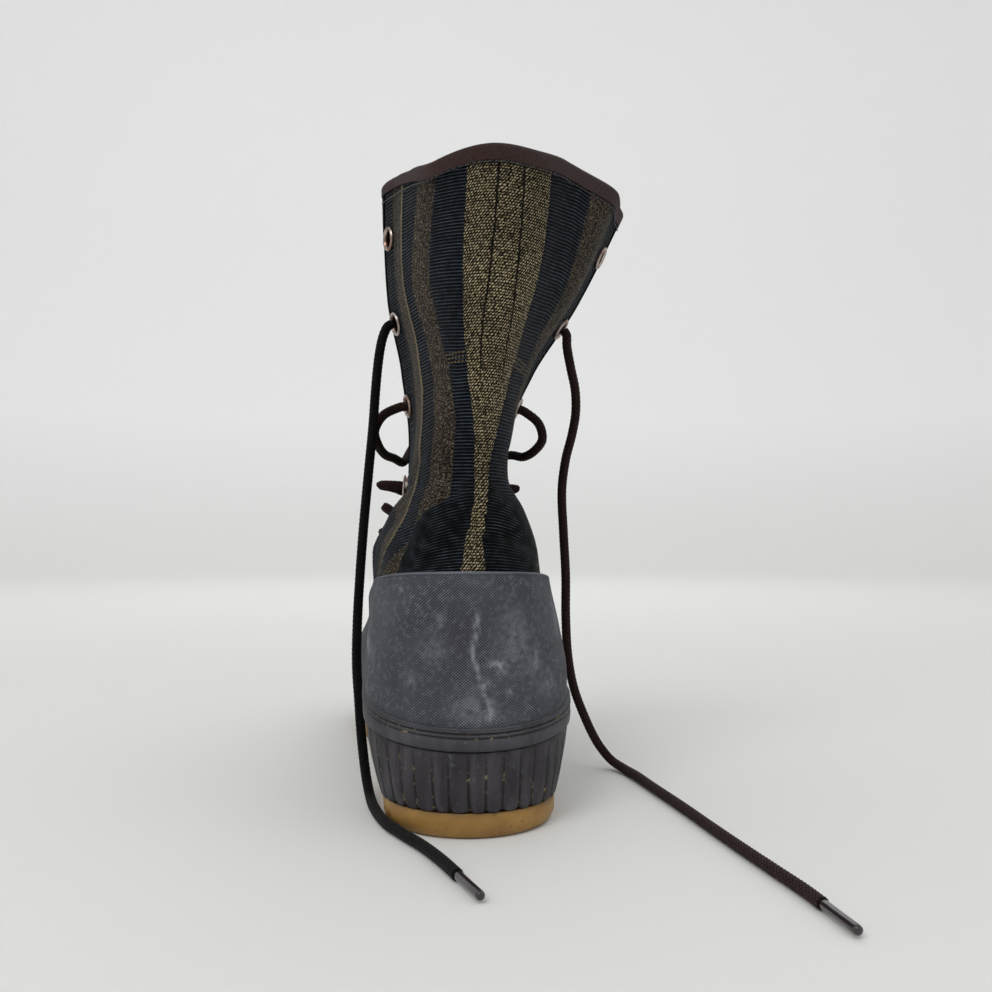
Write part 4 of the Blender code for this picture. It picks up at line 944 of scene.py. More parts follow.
def build_shaft():
    """The shaft's outer cloth with its woven ribs, its lining, and the lining of the foot."""
    turn, level = shaft_grid(SHAFT_COLUMNS, SHAFT_ROW)
    lane, arc, rise = ground_of_cloth(turn, level)
    inner_edge, outer_edge = (np.interp(level, *edge) for edge in (GUSSET_IN, GUSSET_OUT))
    gusset = np.minimum(inner_edge - arc, arc - outer_edge)
    rib = rib_lines(level, arc, rise)
    height = woven_height(level, lane, rib, gusset)
    outer, inner, keep = cloth_layer(turn, level, arc, rise, height, CLOTH_THICK)
    cloth = shell("shaft_cloth", outer, inner, [striped_cloth_material(), lining_cloth()], keep,
                  attributes={"lane": lane, "arc": arc, "rise": rise, "rib": rib, "gusset": gusset})
    object_group(cloth, ["upper"])

    turn, level = shaft_grid(LINING_COLUMNS, LINING_ROW)
    _, arc, rise = ground_of_cloth(turn, level)
    outer, inner, keep = cloth_layer(turn, level, arc, rise, -CLOTH_THICK - LAYER_GAP, WALL)
    object_group(shell("shaft_lining", outer, inner, [lining_cloth()], keep))

    # below the rubber's top line the lining runs on round the whole foot
    turns = np.linspace(-1.0, 1.0, FOOT_COLUMNS, endpoint=False)
    high = level_at(turns, RUBBER_TOP, 1.0 - TUCKED)
    level = FOOT_LOWEST + (high - FOOT_LOWEST)[None] * np.linspace(0.0, 1.0, FOOT_ROWS)[:, None]
    turn = np.broadcast_to(turns[None], level.shape)
    outer, inner = skin_point(turn, level, -0.1), skin_point(turn, level, -WALL)
    foot = shell("foot_lining", outer, inner, [lining_cloth()], closed=True)
    object_group(foot)


# ---------------------------------------------------------------- tapes and tongue
TAPE_SECTION = 12  # points round each half of a folded tape
TWILL_PITCH, TWILL_SLANT = 0.95, 0.9  # the tape's wales, and how far they slant
COLLAR_SECTIONS, FACING_SECTIONS = 260, 160
Tape = namedtuple("Tape", "width thick slack")  # slack is the gap left round the cloth's edge
FACING_TAPE = Tape(3.4, 0.6, 0.25)
COLLAR_TAPE_THICK, COLLAR_TAPE_SLACK = 0.8, 0.35


def folded_tape(name, turn, level, inner_turn, inner_level, tape, finish, share=1.0):
    """A tape folded over an edge of the cloth, towards the inner turns and levels.

    share scales its width along its length.
    """
    edge, outs = last_point(turn, level), last_normal(turn, level)
    inward = last_point(inner_turn, inner_level) - edge
    inward /= np.linalg.norm(inward, axis=1, keepdims=True)
    edge = edge - outs * WALL / 2
    angles = np.linspace(0.0, np.pi, TAPE_SECTION)
    half_gap = WALL / 2 + tape.slack
    profile = []
    for radius, order in ((half_gap + tape.thick, 1), (half_gap, -1)):
        front = [(radius, tape.width * k) for k in (1.0, 0.66, 0.33)]
        bend = [(radius * math.cos(a), -radius * math.sin(a) * 0.9) for a in angles]
        back = [(-radius, tape.width * k) for k in (0.33, 0.66, 1.0)]
        profile += (front + bend + back)[::order]
    profile = np.array(profile)
    depth, share = profile[None, :, 1], np.broadcast_to(share, len(edge))
    reach = np.where(depth > 0, share[:, None], 1.0) * depth
    points = edge[:, None] + profile[None, :, 0:1] * outs[:, None] + reach[..., None] * inward[:, None]
    attributes = {"along": np.broadcast_to(run_along(edge)[:, None], points.shape[:2]),
                  "around": np.broadcast_to(run_along(profile)[None], points.shape[:2])}
    return swept_bar(name, points, [finish], attributes, sharp=70.0)


def build_tapes(collar_width, colour):
    """The twill binding over the collar, and the narrow bindings down both facings."""
    edge_turn = float(facing_turn(COLLAR))
    turn = np.linspace(-edge_turn, edge_turn, COLLAR_SECTIONS)
    level = np.full_like(turn, COLLAR)
    tape = Tape(collar_width, COLLAR_TAPE_THICK, COLLAR_TAPE_SLACK)
    twill, share = twill_tape_material(colour), 1 - 0.3 * step(turn, 0.3, 0.5)
    binding = folded_tape("collar_binding_tape", turn, level, turn, level - 0.12, tape, twill, share)
    object_group(binding, ["collar_binding"])
    black = plain_cloth_material("cotton_tape_black", "#060607", "#141519", 0.7)
    level = np.linspace(THROAT + 0.25, COLLAR - 0.02, FACING_SECTIONS)
    for side, name in ((1, "medial"), (-1, "lateral")):
        turn = side * facing_turn(level)
        inner_turn = turn - side * 0.02
        piece = folded_tape(f"facing_binding_{name}", turn, level, inner_turn, level, FACING_TAPE, black)
        object_group(piece)


TONGUE_LOW, TONGUE_TOP = 5.2, 11.8  # the girths between which it runs
TONGUE_ROWS, TONGUE_COLUMNS = 110, 41
TONGUE_OVERLAP, TONGUE_BEHIND = 0.055, 1.3  # turns past the facing's edge, and mm behind the shaft's wall
TONGUE_DENT, TONGUE_RIPPLE = 3.4, 0.5  # how far its sides are pressed in, and its loose waves


def build_tongue():
    """The bellows tongue behind the facings, pressed in a little beneath the lace's hidden runs."""
    level, across = np.meshgrid(np.linspace(TONGUE_LOW, TONGUE_TOP, TONGUE_ROWS),
                                np.linspace(-1.0, 1.0, TONGUE_COLUMNS), indexing="ij")
    reach = np.where(level < THROAT, 0.10 - 0.04 * (THROAT - level), 1 - facing_turn(level) + TONGUE_OVERLAP)
    turn = wrap(1 + reach * across)
    clear = (BINDING_THICK + GAP) * np.clip((level - COLLAR + 0.9) / 0.6, 0.0, 1.0)
    laced = step(level, 6.2, 7.0) * (1 - step(level, 11.0, 11.6))
    dent = TONGUE_DENT * step(np.abs(across), 0.55, 0.9) * laced
    ripple = TONGUE_RIPPLE * np.sin(level * 5.0 + 1.5 * across) * step(level, 6.5, 7.5)
    behind = ripple - (WALL + TONGUE_BEHIND + clear + dent)
    outer, inner = skin_point(turn, level, behind), skin_point(turn, level, behind - TONGUE_THICK)
    object_group(shell("tongue_cloth", outer, inner, [lining_cloth()]), ["tongue"])


# ---------------------------------------------------------------- rubber
CANVAS_PITCH, GRAIN_STEEP = 1.2, 1.15  # canvas grain, a little coarser than life so that it shows
COUNTER_COLUMNS, VAMP_COLUMNS, OVERLAY_ROWS = 181, 221, 46
RING_COLUMNS = 420  # sections round the boot of the rim band
RIB_PITCH, RIB_GROOVE, RIB_DEPTH = 7.0, 1.1, 0.8  # the foxing's ribs, and the grooves between them
RIB_STEP, SCALLOP = 0.36, 0.65  # mm between its columns, and how far its notches rise


def even_turns(count, line, offset):
    """Turns of evenly spaced columns round the boot, measured along a rubber line."""
    rough = np.linspace(-1.0, 1.0, 1200)
    run = run_along(skin_point(rough, level_at(rough, line), offset))
    turns = np.interp(np.linspace(0.0, run[-1], count, endpoint=False), run, rough)
    return turns, run[-1]


OVERLAY_TALL = 58.0  # the overlays' rows are set out on this height in mm
TOP_ROWS = (0.0, 0.12, 0.3, 0.55, 0.9, 1.4)  # rows close below the top edge, which round it

# The rim band's section from its foot: share of its height, and share of its thickness.
BAND_SECTION = ((0.0, 0.0), (0.02, 0.72), (0.08, 0.93), (0.30, 0.98), (0.55, 0.95), (0.60, 0.80),
                (0.64, 0.80), (0.69, 0.98), (0.73, 1.0), (0.77, 0.96), (0.81, 0.78), (0.85, 0.78),
                (0.89, 0.92), (0.93, 0.95), (0.97, 0.85), (1.0, 0.45), (1.0, 0.0))

# The foxing's outer face from its foot: share of its height, and share of its thickness.
FOXING_SECTION = ((0.0, 0.78), (0.03, 0.93), (0.08, 1.0), (0.18, 1.0), (0.34, 0.99), (0.5, 0.98),
                  (0.66, 0.97), (0.82, 0.95), (0.93, 0.92), (0.98, 0.84), (1.0, 0.7))

# Chalky marks on the back of the counter, in mm along it and up from the rim band, and one streak's course.
SCUFFS = ((-7.7, 22.5, 3.6, 2.4, 0.85), (-2.6, 16.0, 2.2, 2.0, 0.7), (-4.1, 7.0, 2.0, 4.0, 0.8),
          (12.7, 39.0, 1.6, 3.4, 0.35), (-12.0, 12.4, 1.2, 1.2, 0.7), (28.7, 48.0, 1.3, 0.9, 0.7),
          (16.0, 28.0, 5.0, 6.0, 0.25), (-16.0, 30.0, 6.0, 12.0, 0.28), (2.0, 8.0, 9.0, 6.0, 0.3),
          (-24.0, 22.0, 3.0, 5.0, 0.4), (-30.0, 12.0, 4.0, 4.0, 0.3), (26.0, 16.0, 4.0, 4.0, 0.25),
          (58.0, 20.0, 8.0, 3.0, 0.5), (-62.0, 24.0, 9.0, 3.0, 0.5), (-44.0, 34.0, 3.0, 7.0, 0.35))
STREAK_UP, STREAK_ALONG = (2.2, 9.5, 19.6, 28.4, 33.5, 43.6), (-4.1, -3.3, -0.4, 1.7, 0.3, -1.9)


def scuff_marks(along, up):
    """Chalky wear on the back of the counter: one wandering upright streak, and blotches."""
    middle = np.interp(up, STREAK_UP, STREAK_ALONG)
    marks = 0.75 * np.exp(-((along - middle) / 0.8) ** 2) * step(up, 1.0, 5.0) * (1 - step(up, 40.0, 45.0))
    for place, height, wide, tall, strength in SCUFFS:
        spot = np.exp(-((along - place) / wide) ** 2 - ((up - height) / tall) ** 2)
        marks = np.maximum(marks, 1.1 * strength * spot)
    return np.clip(marks, 0.0, 1.0)


def rubber_overlay(name, turns, nodes, finish):
    """A rubber piece cut from the upper's own form between the rim band and the rubber's top line."""
    low, high = level_at(turns, BAND_TOP), level_at(turns, RUBBER_TOP)
    down = np.concatenate([TOP_ROWS, np.linspace(2.2, OVERLAY_TALL, OVERLAY_ROWS)]) / OVERLAY_TALL
    share = (1 - down)[::-1]
    level = low[None] + (high - low)[None] * share[:, None]
    turn = np.broadcast_to(turns[None], level.shape)
    from_top = (1 - share)[:, None] * OVERLAY_TALL
    thick = RUBBER_THICK * (0.35 + 0.65 * np.sqrt(1 - np.clip(1 - from_top / 1.2, 0.0, 1.0) ** 2))
    wave = (0.25 * np.sin(turn * 21.0) + 0.15 * np.sin(turn * 53.0 + 1.0)) * step(share[:, None], 0.5, 1.0)
    outer = skin_point(turn, level, OVERLAY_GAP + thick + wave)
    inner = skin_point(turn, level, np.full_like(turn, OVERLAY_GAP))
    along, up = run_along(outer, axis=1), run_along(outer, axis=0)
    along = along - along[:, [along.shape[1] // 2]]
    grain = step(up, 0.4, 1.6) * step(from_top, 0.8, 2.4)
    attributes = {"along": along, "up": up, "grain": grain, "scuff": scuff_marks(along, up)}
    piece = shell(name, outer, inner, [finish], attributes=attributes)
    return object_group(piece, nodes)


def build_counter_and_vamp(dark, light):
    """The rubber round the heel and the rubber over the forefoot, which meet in two upright seams."""
    grey = grey_rubber_material(dark, light)
    turns = np.linspace(-COUNTER_END, COUNTER_END, COUNTER_COLUMNS)
    rubber_overlay("counter_rubber", turns, ["rubber_counter"], grey)
    start = COUNTER_END + COUNTER_SEAM
    turns = wrap(np.linspace(start, 2 - start, VAMP_COLUMNS))
    rubber_overlay("vamp_rubber", turns, ["rubber_vamp"], grey)


def build_rim_band():
    """The rim band round the boot, with its double rim line above a smooth face."""
    finish = dark_rubber_material("natural_rubber_calendered", "#333236", "#47464b")
    turns, _ = even_turns(RING_COLUMNS, BAND_TOP, BAND_THICK)
    low, high = level_at(turns, FOXING_TOP), level_at(turns, BAND_TOP)
    rings, dust = [], []
    for share, proud in BAND_SECTION:
        lift = np.array([0.0, 0.0, GAP * (1 - share)])
        offset = OVERLAY_GAP + (GAP + BAND_THICK - OVERLAY_GAP) * proud
        rings.append(skin_point(turns, low + (high - low) * share, offset) + lift)
        # the rim line's grooves get painted shade and grit
        dust.append(np.full_like(turns, 0.8 if 0.5 < share < 0.9 and proud < 0.85 else 0.0))
    piece = swept_ring("rim_band_moulded", np.array(rings), [finish], {"dust": np.array(dust)}, sharp=60.0)
    object_group(piece, ["rim_band"])


def open_tree(name, inputs):
    """A new Geometry Nodes tree with geometry and a material, and with inputs as (name, kind, default)."""
    tree = bpy.data.node_groups.new(name, "GeometryNodeTree")
    for label, kind, default in (("Geometry", "Geometry", None), *inputs, ("Material", "Material", None)):
        socket = tree.interface.new_socket(label, in_out="INPUT", socket_type="NodeSocket" + kind)
        if default is not None:
            socket.default_value = default
    tree.interface.new_socket("Geometry", in_out="OUTPUT", socket_type="NodeSocketGeometry")
    return tree, add_node(tree, "group_in").outputs


def close_tree(tree, geometry, material):
    """End a tree: its instances made real, and its material set."""
    real = add_node(tree, "realize", geometry)
    add_node(tree, "group_out", add_node(tree, "set_material", real, material))
    return tree


def rib_tree():
    """Geometry Nodes: press upright grooves into a strip by its travel attribute."""
    sizes = (("Pitch", "Float", RIB_PITCH), ("Groove Width", "Float", RIB_GROOVE),
             ("Depth", "Float", RIB_DEPTH * MM))
    tree, given = open_tree("foxing_ribs", sizes)
    travel, amount = (add_node(tree, "named_attribute", name) for name in ("travel", "ribbed"))
    share = add_node(tree, "fract", add_node(tree, "divide", travel, given["Pitch"]))
    away = add_node(tree, "absolute", add_node(tree, "subtract", share, 0.5))
    away = add_node(tree, "multiply", away, given["Pitch"])
    half = add_node(tree, "multiply", given["Groove Width"], 0.5)
    groove = add_node(tree, "stretch", away, half, 0.0, interpolation_type="SMOOTHSTEP")
    wide = add_node(tree, "multiply", half, 3.0)
    round_off = add_node(tree, "stretch", away, wide, 0.0, 0.0, 0.35, interpolation_type="SMOOTHSTEP")
    deep = overlap(tree, add_node(tree, "maximum", groove, round_off), amount, given["Depth"])
    inward = add_node(tree, "scaled_vector", add_node(tree, "surface_normal"), deep)
    back = add_node(tree, "vector", (0.0, 0.0, 0.0), inward, operation="SUBTRACT")
    return close_tree(tree, add_node(tree, "move", given["Geometry"], back), given["Material"])


def run_nodes(piece, tree, values):
    """Run a Geometry Nodes tree on a piece and bake the result into its mesh."""
    modifier = piece.modifiers.new(tree.name, "NODES")
    modifier.node_group = tree
    for item in tree.interface.items_tree:
        if item.in_out == "INPUT" and item.name in values:
            modifier[item.identifier] = values[item.name]
    bpy.context.view_layer.update()
    evaluated = piece.evaluated_get(bpy.context.evaluated_depsgraph_get())
    flat, baked = piece.data, bpy.data.meshes.new_from_object(evaluated)
    piece.modifiers.remove(modifier)
    piece.data = baked
    baked.name = piece.name
    bpy.data.meshes.remove(flat)


def build_foxing():
    """The ribbed foxing round the boot's foot, a little uneven, its grooves painted dark as painted shade and
    flecked with grit.
    """
    finish = dark_rubber_material("natural_rubber_moulded", "#232024", "#3a363a")
    offset = GAP + FOXING_THICK
    _, around = even_turns(10, FOXING_TOP, offset)
    columns = round(around / RIB_STEP)
    turns, around = even_turns(columns, FOXING_TOP, offset)
    high = level_at(turns, FOXING_TOP)
    spot = np.arange(columns) * around / columns
    pitch = around / round(around / RIB_PITCH)
    unevenness = 0.12 * np.sin(spot * 0.21) + 0.1 * np.sin(spot * 0.083 + 1.0)
    none = np.zeros(columns)
    rings, travel, ribbed, dust = [], [], [], []

    def add_ring(share, away, rise, place, ribs, shade_and_dirt):
        ring = skin_point(turns, high * share, away)
        ring[:, 2] = OUTSOLE_TOP + GAP + toe_spring(foot_s(ring)) if share == 0.0 else ring[:, 2] + rise
        rings.append(ring)
        travel.append(place)
        ribbed.append(ribs)
        dust.append(shade_and_dirt)

    for share, proud in FOXING_SECTION:
        wander = 0.45 * np.sin(spot * 0.37) + 0.3 * np.sin(spot * 0.9 + 3.0 * share)
        near = np.abs(((spot + wander) / pitch) % 1.0 - 0.5) * pitch
        away = OVERLAY_GAP + (offset - OVERLAY_GAP) * proud + unevenness
        ribs = none + (1.0 if share < 0.97 else 0.3)
        # painted shade and grit in the rib grooves, strongest at the foot
        shade_and_dirt = np.exp(-(near / 0.55) ** 2) * min(1.0, 4 * (1 - share))
        add_ring(share, away, GAP * (1 - share), spot + wander, ribs, shade_and_dirt)
        rings[-1][:, 2] += SCALLOP * max(0.0, 1 - 8 * share) * np.exp(-(near / 1.1) ** 2)
    for share in (1.0, 0.5, 0.0):
        add_ring(share, none + OVERLAY_GAP, 0.0, spot, none, none)
    attributes = {"travel": np.array(travel), "ribbed": np.array(ribbed), "dust": np.array(dust)}
    piece = swept_ring("foxing_ribbed", np.array(rings), [finish], attributes, sharp=60.0)
    run_nodes(piece, rib_tree(), {"Pitch": pitch, "Material": finish})
    object_group(piece, ["foxing"])


SOLE_FLOOR_S, SOLE_FLOOR_Z = (0.0, 84.0, 104.0, 146.0, 166.0, 400.0), (0.0, 0.0, 3.0, 3.0, 0.0, 0.0)


def sole_floor(s):
    """Height of the outsole's underside: flat at heel and ball, hollow at the waist."""
    return smooth(s, SOLE_FLOOR_S, SOLE_FLOOR_Z) + toe_spring(s)


LUG_PITCH, LUG_GROOVE, LUG_DEPTH, HEEL_LUG, BALL_LUG = 11.0, 3.0, 2.6, 42.0, 205.0
LUG_SLOPE = 0.15  # half the width of a groove's sloping side
GUM_ANGLES = (90.0, 75.0, 60.0, 45.0, 30.0, 15.0, 0.0)  # of the rounded edge, from the underside up

# The gum sole's side above its rounded edge: share of its height, how far in it lies, and how far dirt and
# painted shade darken it.
GUM_SIDE = ((0.25, 0.0, 0.2), (0.08, 0.0, 0.55), (0.0, 0.4, 0.9))


def build_outsole(dark, light):
    """Gum outsole with a rounded edge, an arch, toe spring and lugs across heel and ball."""
    grooves = [HEEL_LUG + LUG_PITCH * (k + 0.5) for k in range(-2, 3)]
    grooves += [BALL_LUG + LUG_PITCH * (k + 0.5) for k in range(-3, 2)]
    back, front = GIRTHS[0, 0], GIRTHS[0, 3]
    places = back + (1 - np.cos(np.linspace(0.0, np.pi, 150))) / 2 * (front - back)
    edges = [g + side * (LUG_GROOVE / 2 + slope) for g in grooves for side in (-1, 1)
             for slope in (-LUG_SLOPE, LUG_SLOPE)]
    s = np.unique(np.concatenate([places, edges]))
    half_turn = np.arccos(1 - 2 * (s - back) / (front - back)) / np.pi
    half_turn[0], half_turn[-1] = 0.0, 1.0
    turns = np.concatenate([half_turn, -half_turn[-2:0:-1]])
    edge, normal = last_point(turns, 0.0 * turns), last_normal(turns, 0.0 * turns)
    flat = normal * (1.0, 1.0, 0.0)
    flat /= np.linalg.norm(flat, axis=1, keepdims=True)
    cut_s = foot_s(edge)
    lug = np.zeros_like(cut_s)
    for g in grooves:
        lug = np.maximum(lug, 1 - step(np.abs(cut_s - g), LUG_GROOVE / 2 - 0.16, LUG_GROOVE / 2 + 0.16))

    def ring(outset, drop):
        place = edge + outset * flat
        away = foot_s(place)
        top = OUTSOLE_TOP + toe_spring(away)
        floor = np.maximum(sole_floor(away), lug * LUG_DEPTH)
        place[:, 2] = top + (floor - top) * drop
        return place

    rings, soil = [], []
    for angle in GUM_ANGLES:
        inward = GUM_ROUND * (1 - math.cos(math.radians(angle)))
        drop = GUM_WALL + (1 - GUM_WALL) * math.sin(math.radians(angle))
        rings.append(ring(GUM_OUTSET - inward, drop))
        # the underside darkened most: dirt and painted shade
        soil.append(np.full_like(turns, 0.8 if angle > 70 else 0.25))
    for drop, inward, shade_and_dirt in GUM_SIDE:
        rings.append(ring(GUM_OUTSET - inward, drop))
        soil.append(np.full_like(turns, shade_and_dirt))
    rings = np.array(rings)
    count = len(turns)
    quads = [grid_cells(len(rings), count, True).reshape(-1, 4)]
    triangles = []
    for first in (0, (len(rings) - 1) * count):
        k = np.arange(len(s) - 1)
        left, right = first + k, first + (count - k) % count
        left_next, right_next = first + k + 1, first + (count - k - 1) % count
        corners = np.stack([left, left_next, right_next, right], axis=-1)
        quads.append(corners[1:-1])
        triangles.append(np.array([corners[0, :3], corners[-1, [0, 1, 3]]]))
    faces = [np.concatenate(quads), np.concatenate(triangles)]
    piece = finish_mesh("outsole_gum", rings.reshape(-1, 3), faces, [gum_rubber_material(dark, light)],
                        {"soil": np.array(soil)}, sharp=40.0)
    object_group(piece, ["outsole"])


INSOLE_S, INSOLE_HEIGHT = (0.0, 70.0, 190.0, 292.0), (9.0, 9.0, 4.0, 4.0)
INSOLE_CROWN = 0.8  # mm that its rim stands above its middle


def build_insole():
    """The wedge footbed, a foam pad dished a little along its middle."""
    half_turn = np.arccos(1 - 2 * np.linspace(0.0, 1.0, 60)) / np.pi
    across = np.linspace(-1.0, 1.0, 25)
    inward = -(WALL + 2 * GAP)
    inner_side = skin_point(half_turn, 0.0 * half_turn, np.full_like(half_turn, inward))
    outer_side = skin_point(-half_turn, 0.0 * half_turn, np.full_like(half_turn, inward))
    middle = (inner_side + outer_side) / 2
    points = middle[:, None] + (inner_side - middle)[:, None] * across[None, :, None]
    s = foot_s(points)
    height = smooth(s, INSOLE_S, INSOLE_HEIGHT)
    floor = points.copy()
    floor[..., 2] = OUTSOLE_TOP + GAP + toe_spring(s)
    points[..., 2] = floor[..., 2] + height - INSOLE_CROWN + INSOLE_CROWN * np.abs(across[None]) ** 4
    cover = plain_cloth_material("foam_cover_knitted", "#222326", "#44464a", 1.2)
    piece = shell("insole_pad", points, floor, [cover])
    object_group(piece, ["insole"])


# ---------------------------------------------------------------- eyelets and stitches
EYELET_ROLL_WIDTH, EYELET_SIDES = 1.2, 32  # across the rolled rim, and the sides of its circle


def eyelet_mesh():
    """One rolled eyelet about its own upright axis."""
    bore, barrel, flange = EYELET_BORE / 2, EYELET_BARREL / 2, EYELET_FLANGE / 2
    angles = np.radians(np.linspace(-20.0, 200.0, 9))[1:-1]
    roll = EYELET_ROLL_WIDTH / 2
    foot = -WALL - FLANGE_CLEAR
    section = [(barrel, foot), (barrel, -0.05), (flange - 0.5, -0.05), (flange, 0.1)]
    section += [(flange - roll + roll * math.cos(a), EYELET_ROLL * max(0.0, math.sin(a))) for a in angles]
    section += [(bore + 0.25, -0.3), (bore, -0.9), (bore, foot - 0.2)]
    turns = np.linspace(0.0, 2 * np.pi, EYELET_SIDES, endpoint=False)
    rings = np.array([[(r * math.cos(t), r * math.sin(t), z) for t in turns] for r, z in section])
    # inside marks the bore's funnel, which the finish paints dark as painted shade
    inside = np.repeat(np.arange(len(section)) > len(section) - 4, EYELET_SIDES)
    return swept_ring("eyelet_pattern", rings, [], {"inside": inside}, sharp=45.0)


def instance_tree(name):
    """Geometry Nodes: put a pattern piece on every point, turned to its own two directions."""
    tree, given = open_tree(name, (("Pattern", "Object", None), ("Scale", "Float", 1.0)))
    outward, along = (add_node(tree, "named_attribute", key, data_type="FLOAT_VECTOR")
                      for key in ("outward", "along"))
    turned = add_node(tree, "turn", outward, along, primary_axis="Z", secondary_axis="X")
    placed = add_node(tree, "instances", add_node(tree, "points", given["Geometry"]),
                      add_node(tree, "object", given["Pattern"]), turned, given["Scale"])
    return close_tree(tree, placed, given["Material"])


def scatter(name, tree, pattern, places, outward, along, finish):
    """Copies of a pattern piece at places in mm, baked into one mesh."""
    mesh = bpy.data.meshes.new(name)
    mesh.from_pydata((np.asarray(places) * MM).tolist(), [], [])
    for key, values in (("outward", outward), ("along", along)):
        layer = mesh.attributes.new(key, "FLOAT_VECTOR", "POINT")
        layer.data.foreach_set("vector", np.asarray(values, dtype=np.float32).ravel())
    piece = bpy.data.objects.new(name, mesh)
    bpy.context.scene.collection.objects.link(piece)
    run_nodes(piece, tree, {"Pattern": pattern, "Material": finish})
    bpy.data.objects.remove(pattern, do_unlink=True)
    piece.data.shade_smooth()
    piece.data.set_sharp_from_angle(angle=math.radians(45.0))
    return piece


def build_eyelets():
    """Fourteen rolled eyelets in the facings."""
    places = [eyelet.centre + eyelet.seat * eyelet.outward for eyelet in EYELETS]
    outward = [eyelet.outward for eyelet in EYELETS]
    along = [np.cross(eyelet.outward, (0.0, 0.3, 1.0)) for eyelet in EYELETS]
    piece = scatter("eyelets_rolled", instance_tree("eyelet_places"), eyelet_mesh(), places, outward, along,
                    nickel_material())
    object_group(piece, [eyelet.node for eyelet in EYELETS])


STITCH_RADIUS = 0.28
# Sections along a stitch: share of its length, share of its radius, and height in mm.
STITCH_SECTIONS = ((-0.5, 0.5, -0.25), (-0.3, 1.0, 0.05), (0.0, 1.0, 0.15), (0.3, 1.0, 0.05),
                   (0.5, 0.5, -0.25))
COLLAR_STITCH_TURN, COLLAR_STITCH_LIFT, FACING_STITCH_LIFT = 0.66, 0.35 + 0.85, 0.2


def stitch_mesh(length):
    """One stitch lying along x, sunk at both ends."""
    turns = np.linspace(0.0, 2 * np.pi, 6, endpoint=False)
    sections = [[(share * length, STITCH_RADIUS * radius * math.cos(t),
                  STITCH_RADIUS * radius * math.sin(t) + height) for t in turns]
                for share, radius, height in STITCH_SECTIONS]
    return swept_bar("stitch_pattern", np.array(sections), [], sharp=60.0)


def stitch_line(turn, level, lift, pitch):
    """Places and directions of stitches along a line on the skin."""
    run = run_along(skin_point(turn, level, lift))
    spots = np.arange(pitch / 2, run[-1], pitch)
    turns, levels = np.interp(spots, run, turn), np.interp(spots, run, level)
    places = skin_point(turns, levels, lift)
    return places, last_normal(turns, levels), np.gradient(places, axis=0)


def build_stitches(length, pitch):
    """Rows of stitches below the collar tape and down both facings."""
    turn = np.linspace(-COLLAR_STITCH_TURN, COLLAR_STITCH_TURN, 300)
    lines = [stitch_line(turn, np.full_like(turn, COLLAR - 0.135), COLLAR_STITCH_LIFT, pitch)]
    level = np.linspace(THROAT + 0.5, COLLAR - 0.2, 200)
    for side in (-1, 1):
        lines.append(stitch_line(side * (facing_turn(level) - 0.125), level, FACING_STITCH_LIFT, pitch))
    places, outward, along = (np.concatenate(group) for group in zip(*lines))
    piece = scatter("stitches_lock", instance_tree("stitch_places"), stitch_mesh(length), places, outward,
                    along, thread_material())
    object_group(piece)


# ---------------------------------------------------------------- lace
PLAITS, PLAIT_LENGTH, PLAIT_HEIGHT = 9, 2.0, 0.10  # round the lace, along it, and as a share of its radius
LACE_STEP, LACE_SIDES, AGLET_SIDES = 0.5, 36, 24
AGLET_RUN = (0.0, 0.5, 1.2, 10.0, 18.6, 19.6, AGLET_LENGTH)  # mm along the aglet
AGLET_SHARES = (0.86, 1.0, 1.0, 0.96, 0.97, 0.86, 0.55)  # its radius there, as shares
Slack = namedtuple("Slack", "eyelet bulge inner_sag outer_sag edge lift")
SLACKS = (Slack(3, 12.0, 0.84, 0.70, 4.2, 10.5), Slack(4, 8.0, 0.10, 0.10, 4.8, 3.8),
          Slack(5, 4.0, 0.04, 0.04, 7.2, 6.2), Slack(6, 2.5, 0.0, 0.0, 5.8, 4.8),
          Slack(7, 1.5, 0.0, 0.0, 5.4, 4.4))
LACE_RISE, SAG_POWER, LOOP_DROPS = 3.2, 1.3, (1.12, 1.02)
OVER = 2.2  # an upper arm passes this far above the pair's middle
BEHIND = -(WALL + LACE_DIAMETER / 2 + 0.4)  # a lace's middle inside the shaft, from the skin
MEDIAL_ROUTE = (
    (28.3, -35.6, 202.5), (30.4, -35.0, 201.0), (32.6, -34.6, 195.4), (34.2, -34.5, 186.0),
    (35.4, -35.0, 173.0), (36.4, -35.5, 158.0), (38.2, -36.0, 138.0), (40.2, -36.0, 115.0),
    (41.8, -36.0, 92.0), (42.8, -35.5, 72.0), (43.0, -34.5, 54.0), (42.0, -33.0, 39.0),
    (40.8, -29.0, 24.0), (39.0, -21.0, 10.5), (37.2, -10.0, 3.6), (35.4, 4.0, 2.4),
    (31.8, 22.0, 2.4), (25.6, 38.0, 2.4), (19.8, 51.5, 2.4), (14.5, 67.5, 2.4), (10.6, 82.0, 2.4))
LATERAL_ROUTE = (
    (-48.6, -35.6, 201.7), (-49.8, -35.2, 199.4), (-50.0, -35.6, 194.6), (-52.2, -37.6, 185.0),
    (-54.8, -40.4, 175.5), (-55.6, -43.2, 165.5), (-54.4, -45.5, 156.0), (-51.8, -48.0, 144.0),
    (-50.4, -49.5, 130.0), (-51.2, -50.0, 111.0), (-52.4, -51.0, 91.0), (-52.6, -52.0, 72.0),
    (-54.0, -54.0, 54.0), (-57.0, -55.5, 39.0), (-62.6, -58.0, 25.0), (-69.0, -60.0, 12.5),
    (-75.0, -58.5, 4.6), (-79.0, -48.0, 2.4), (-81.0, -34.0, 2.4), (-82.4, -15.0, 2.4),
    (-85.2, 17.0, 2.4), (-87.2, 46.0, 2.4), (-89.2, 71.0, 2.4), (-91.2, 93.0, 2.4),
    (-92.8, 110.0, 2.4), (-93.2, 121.0, 2.4))


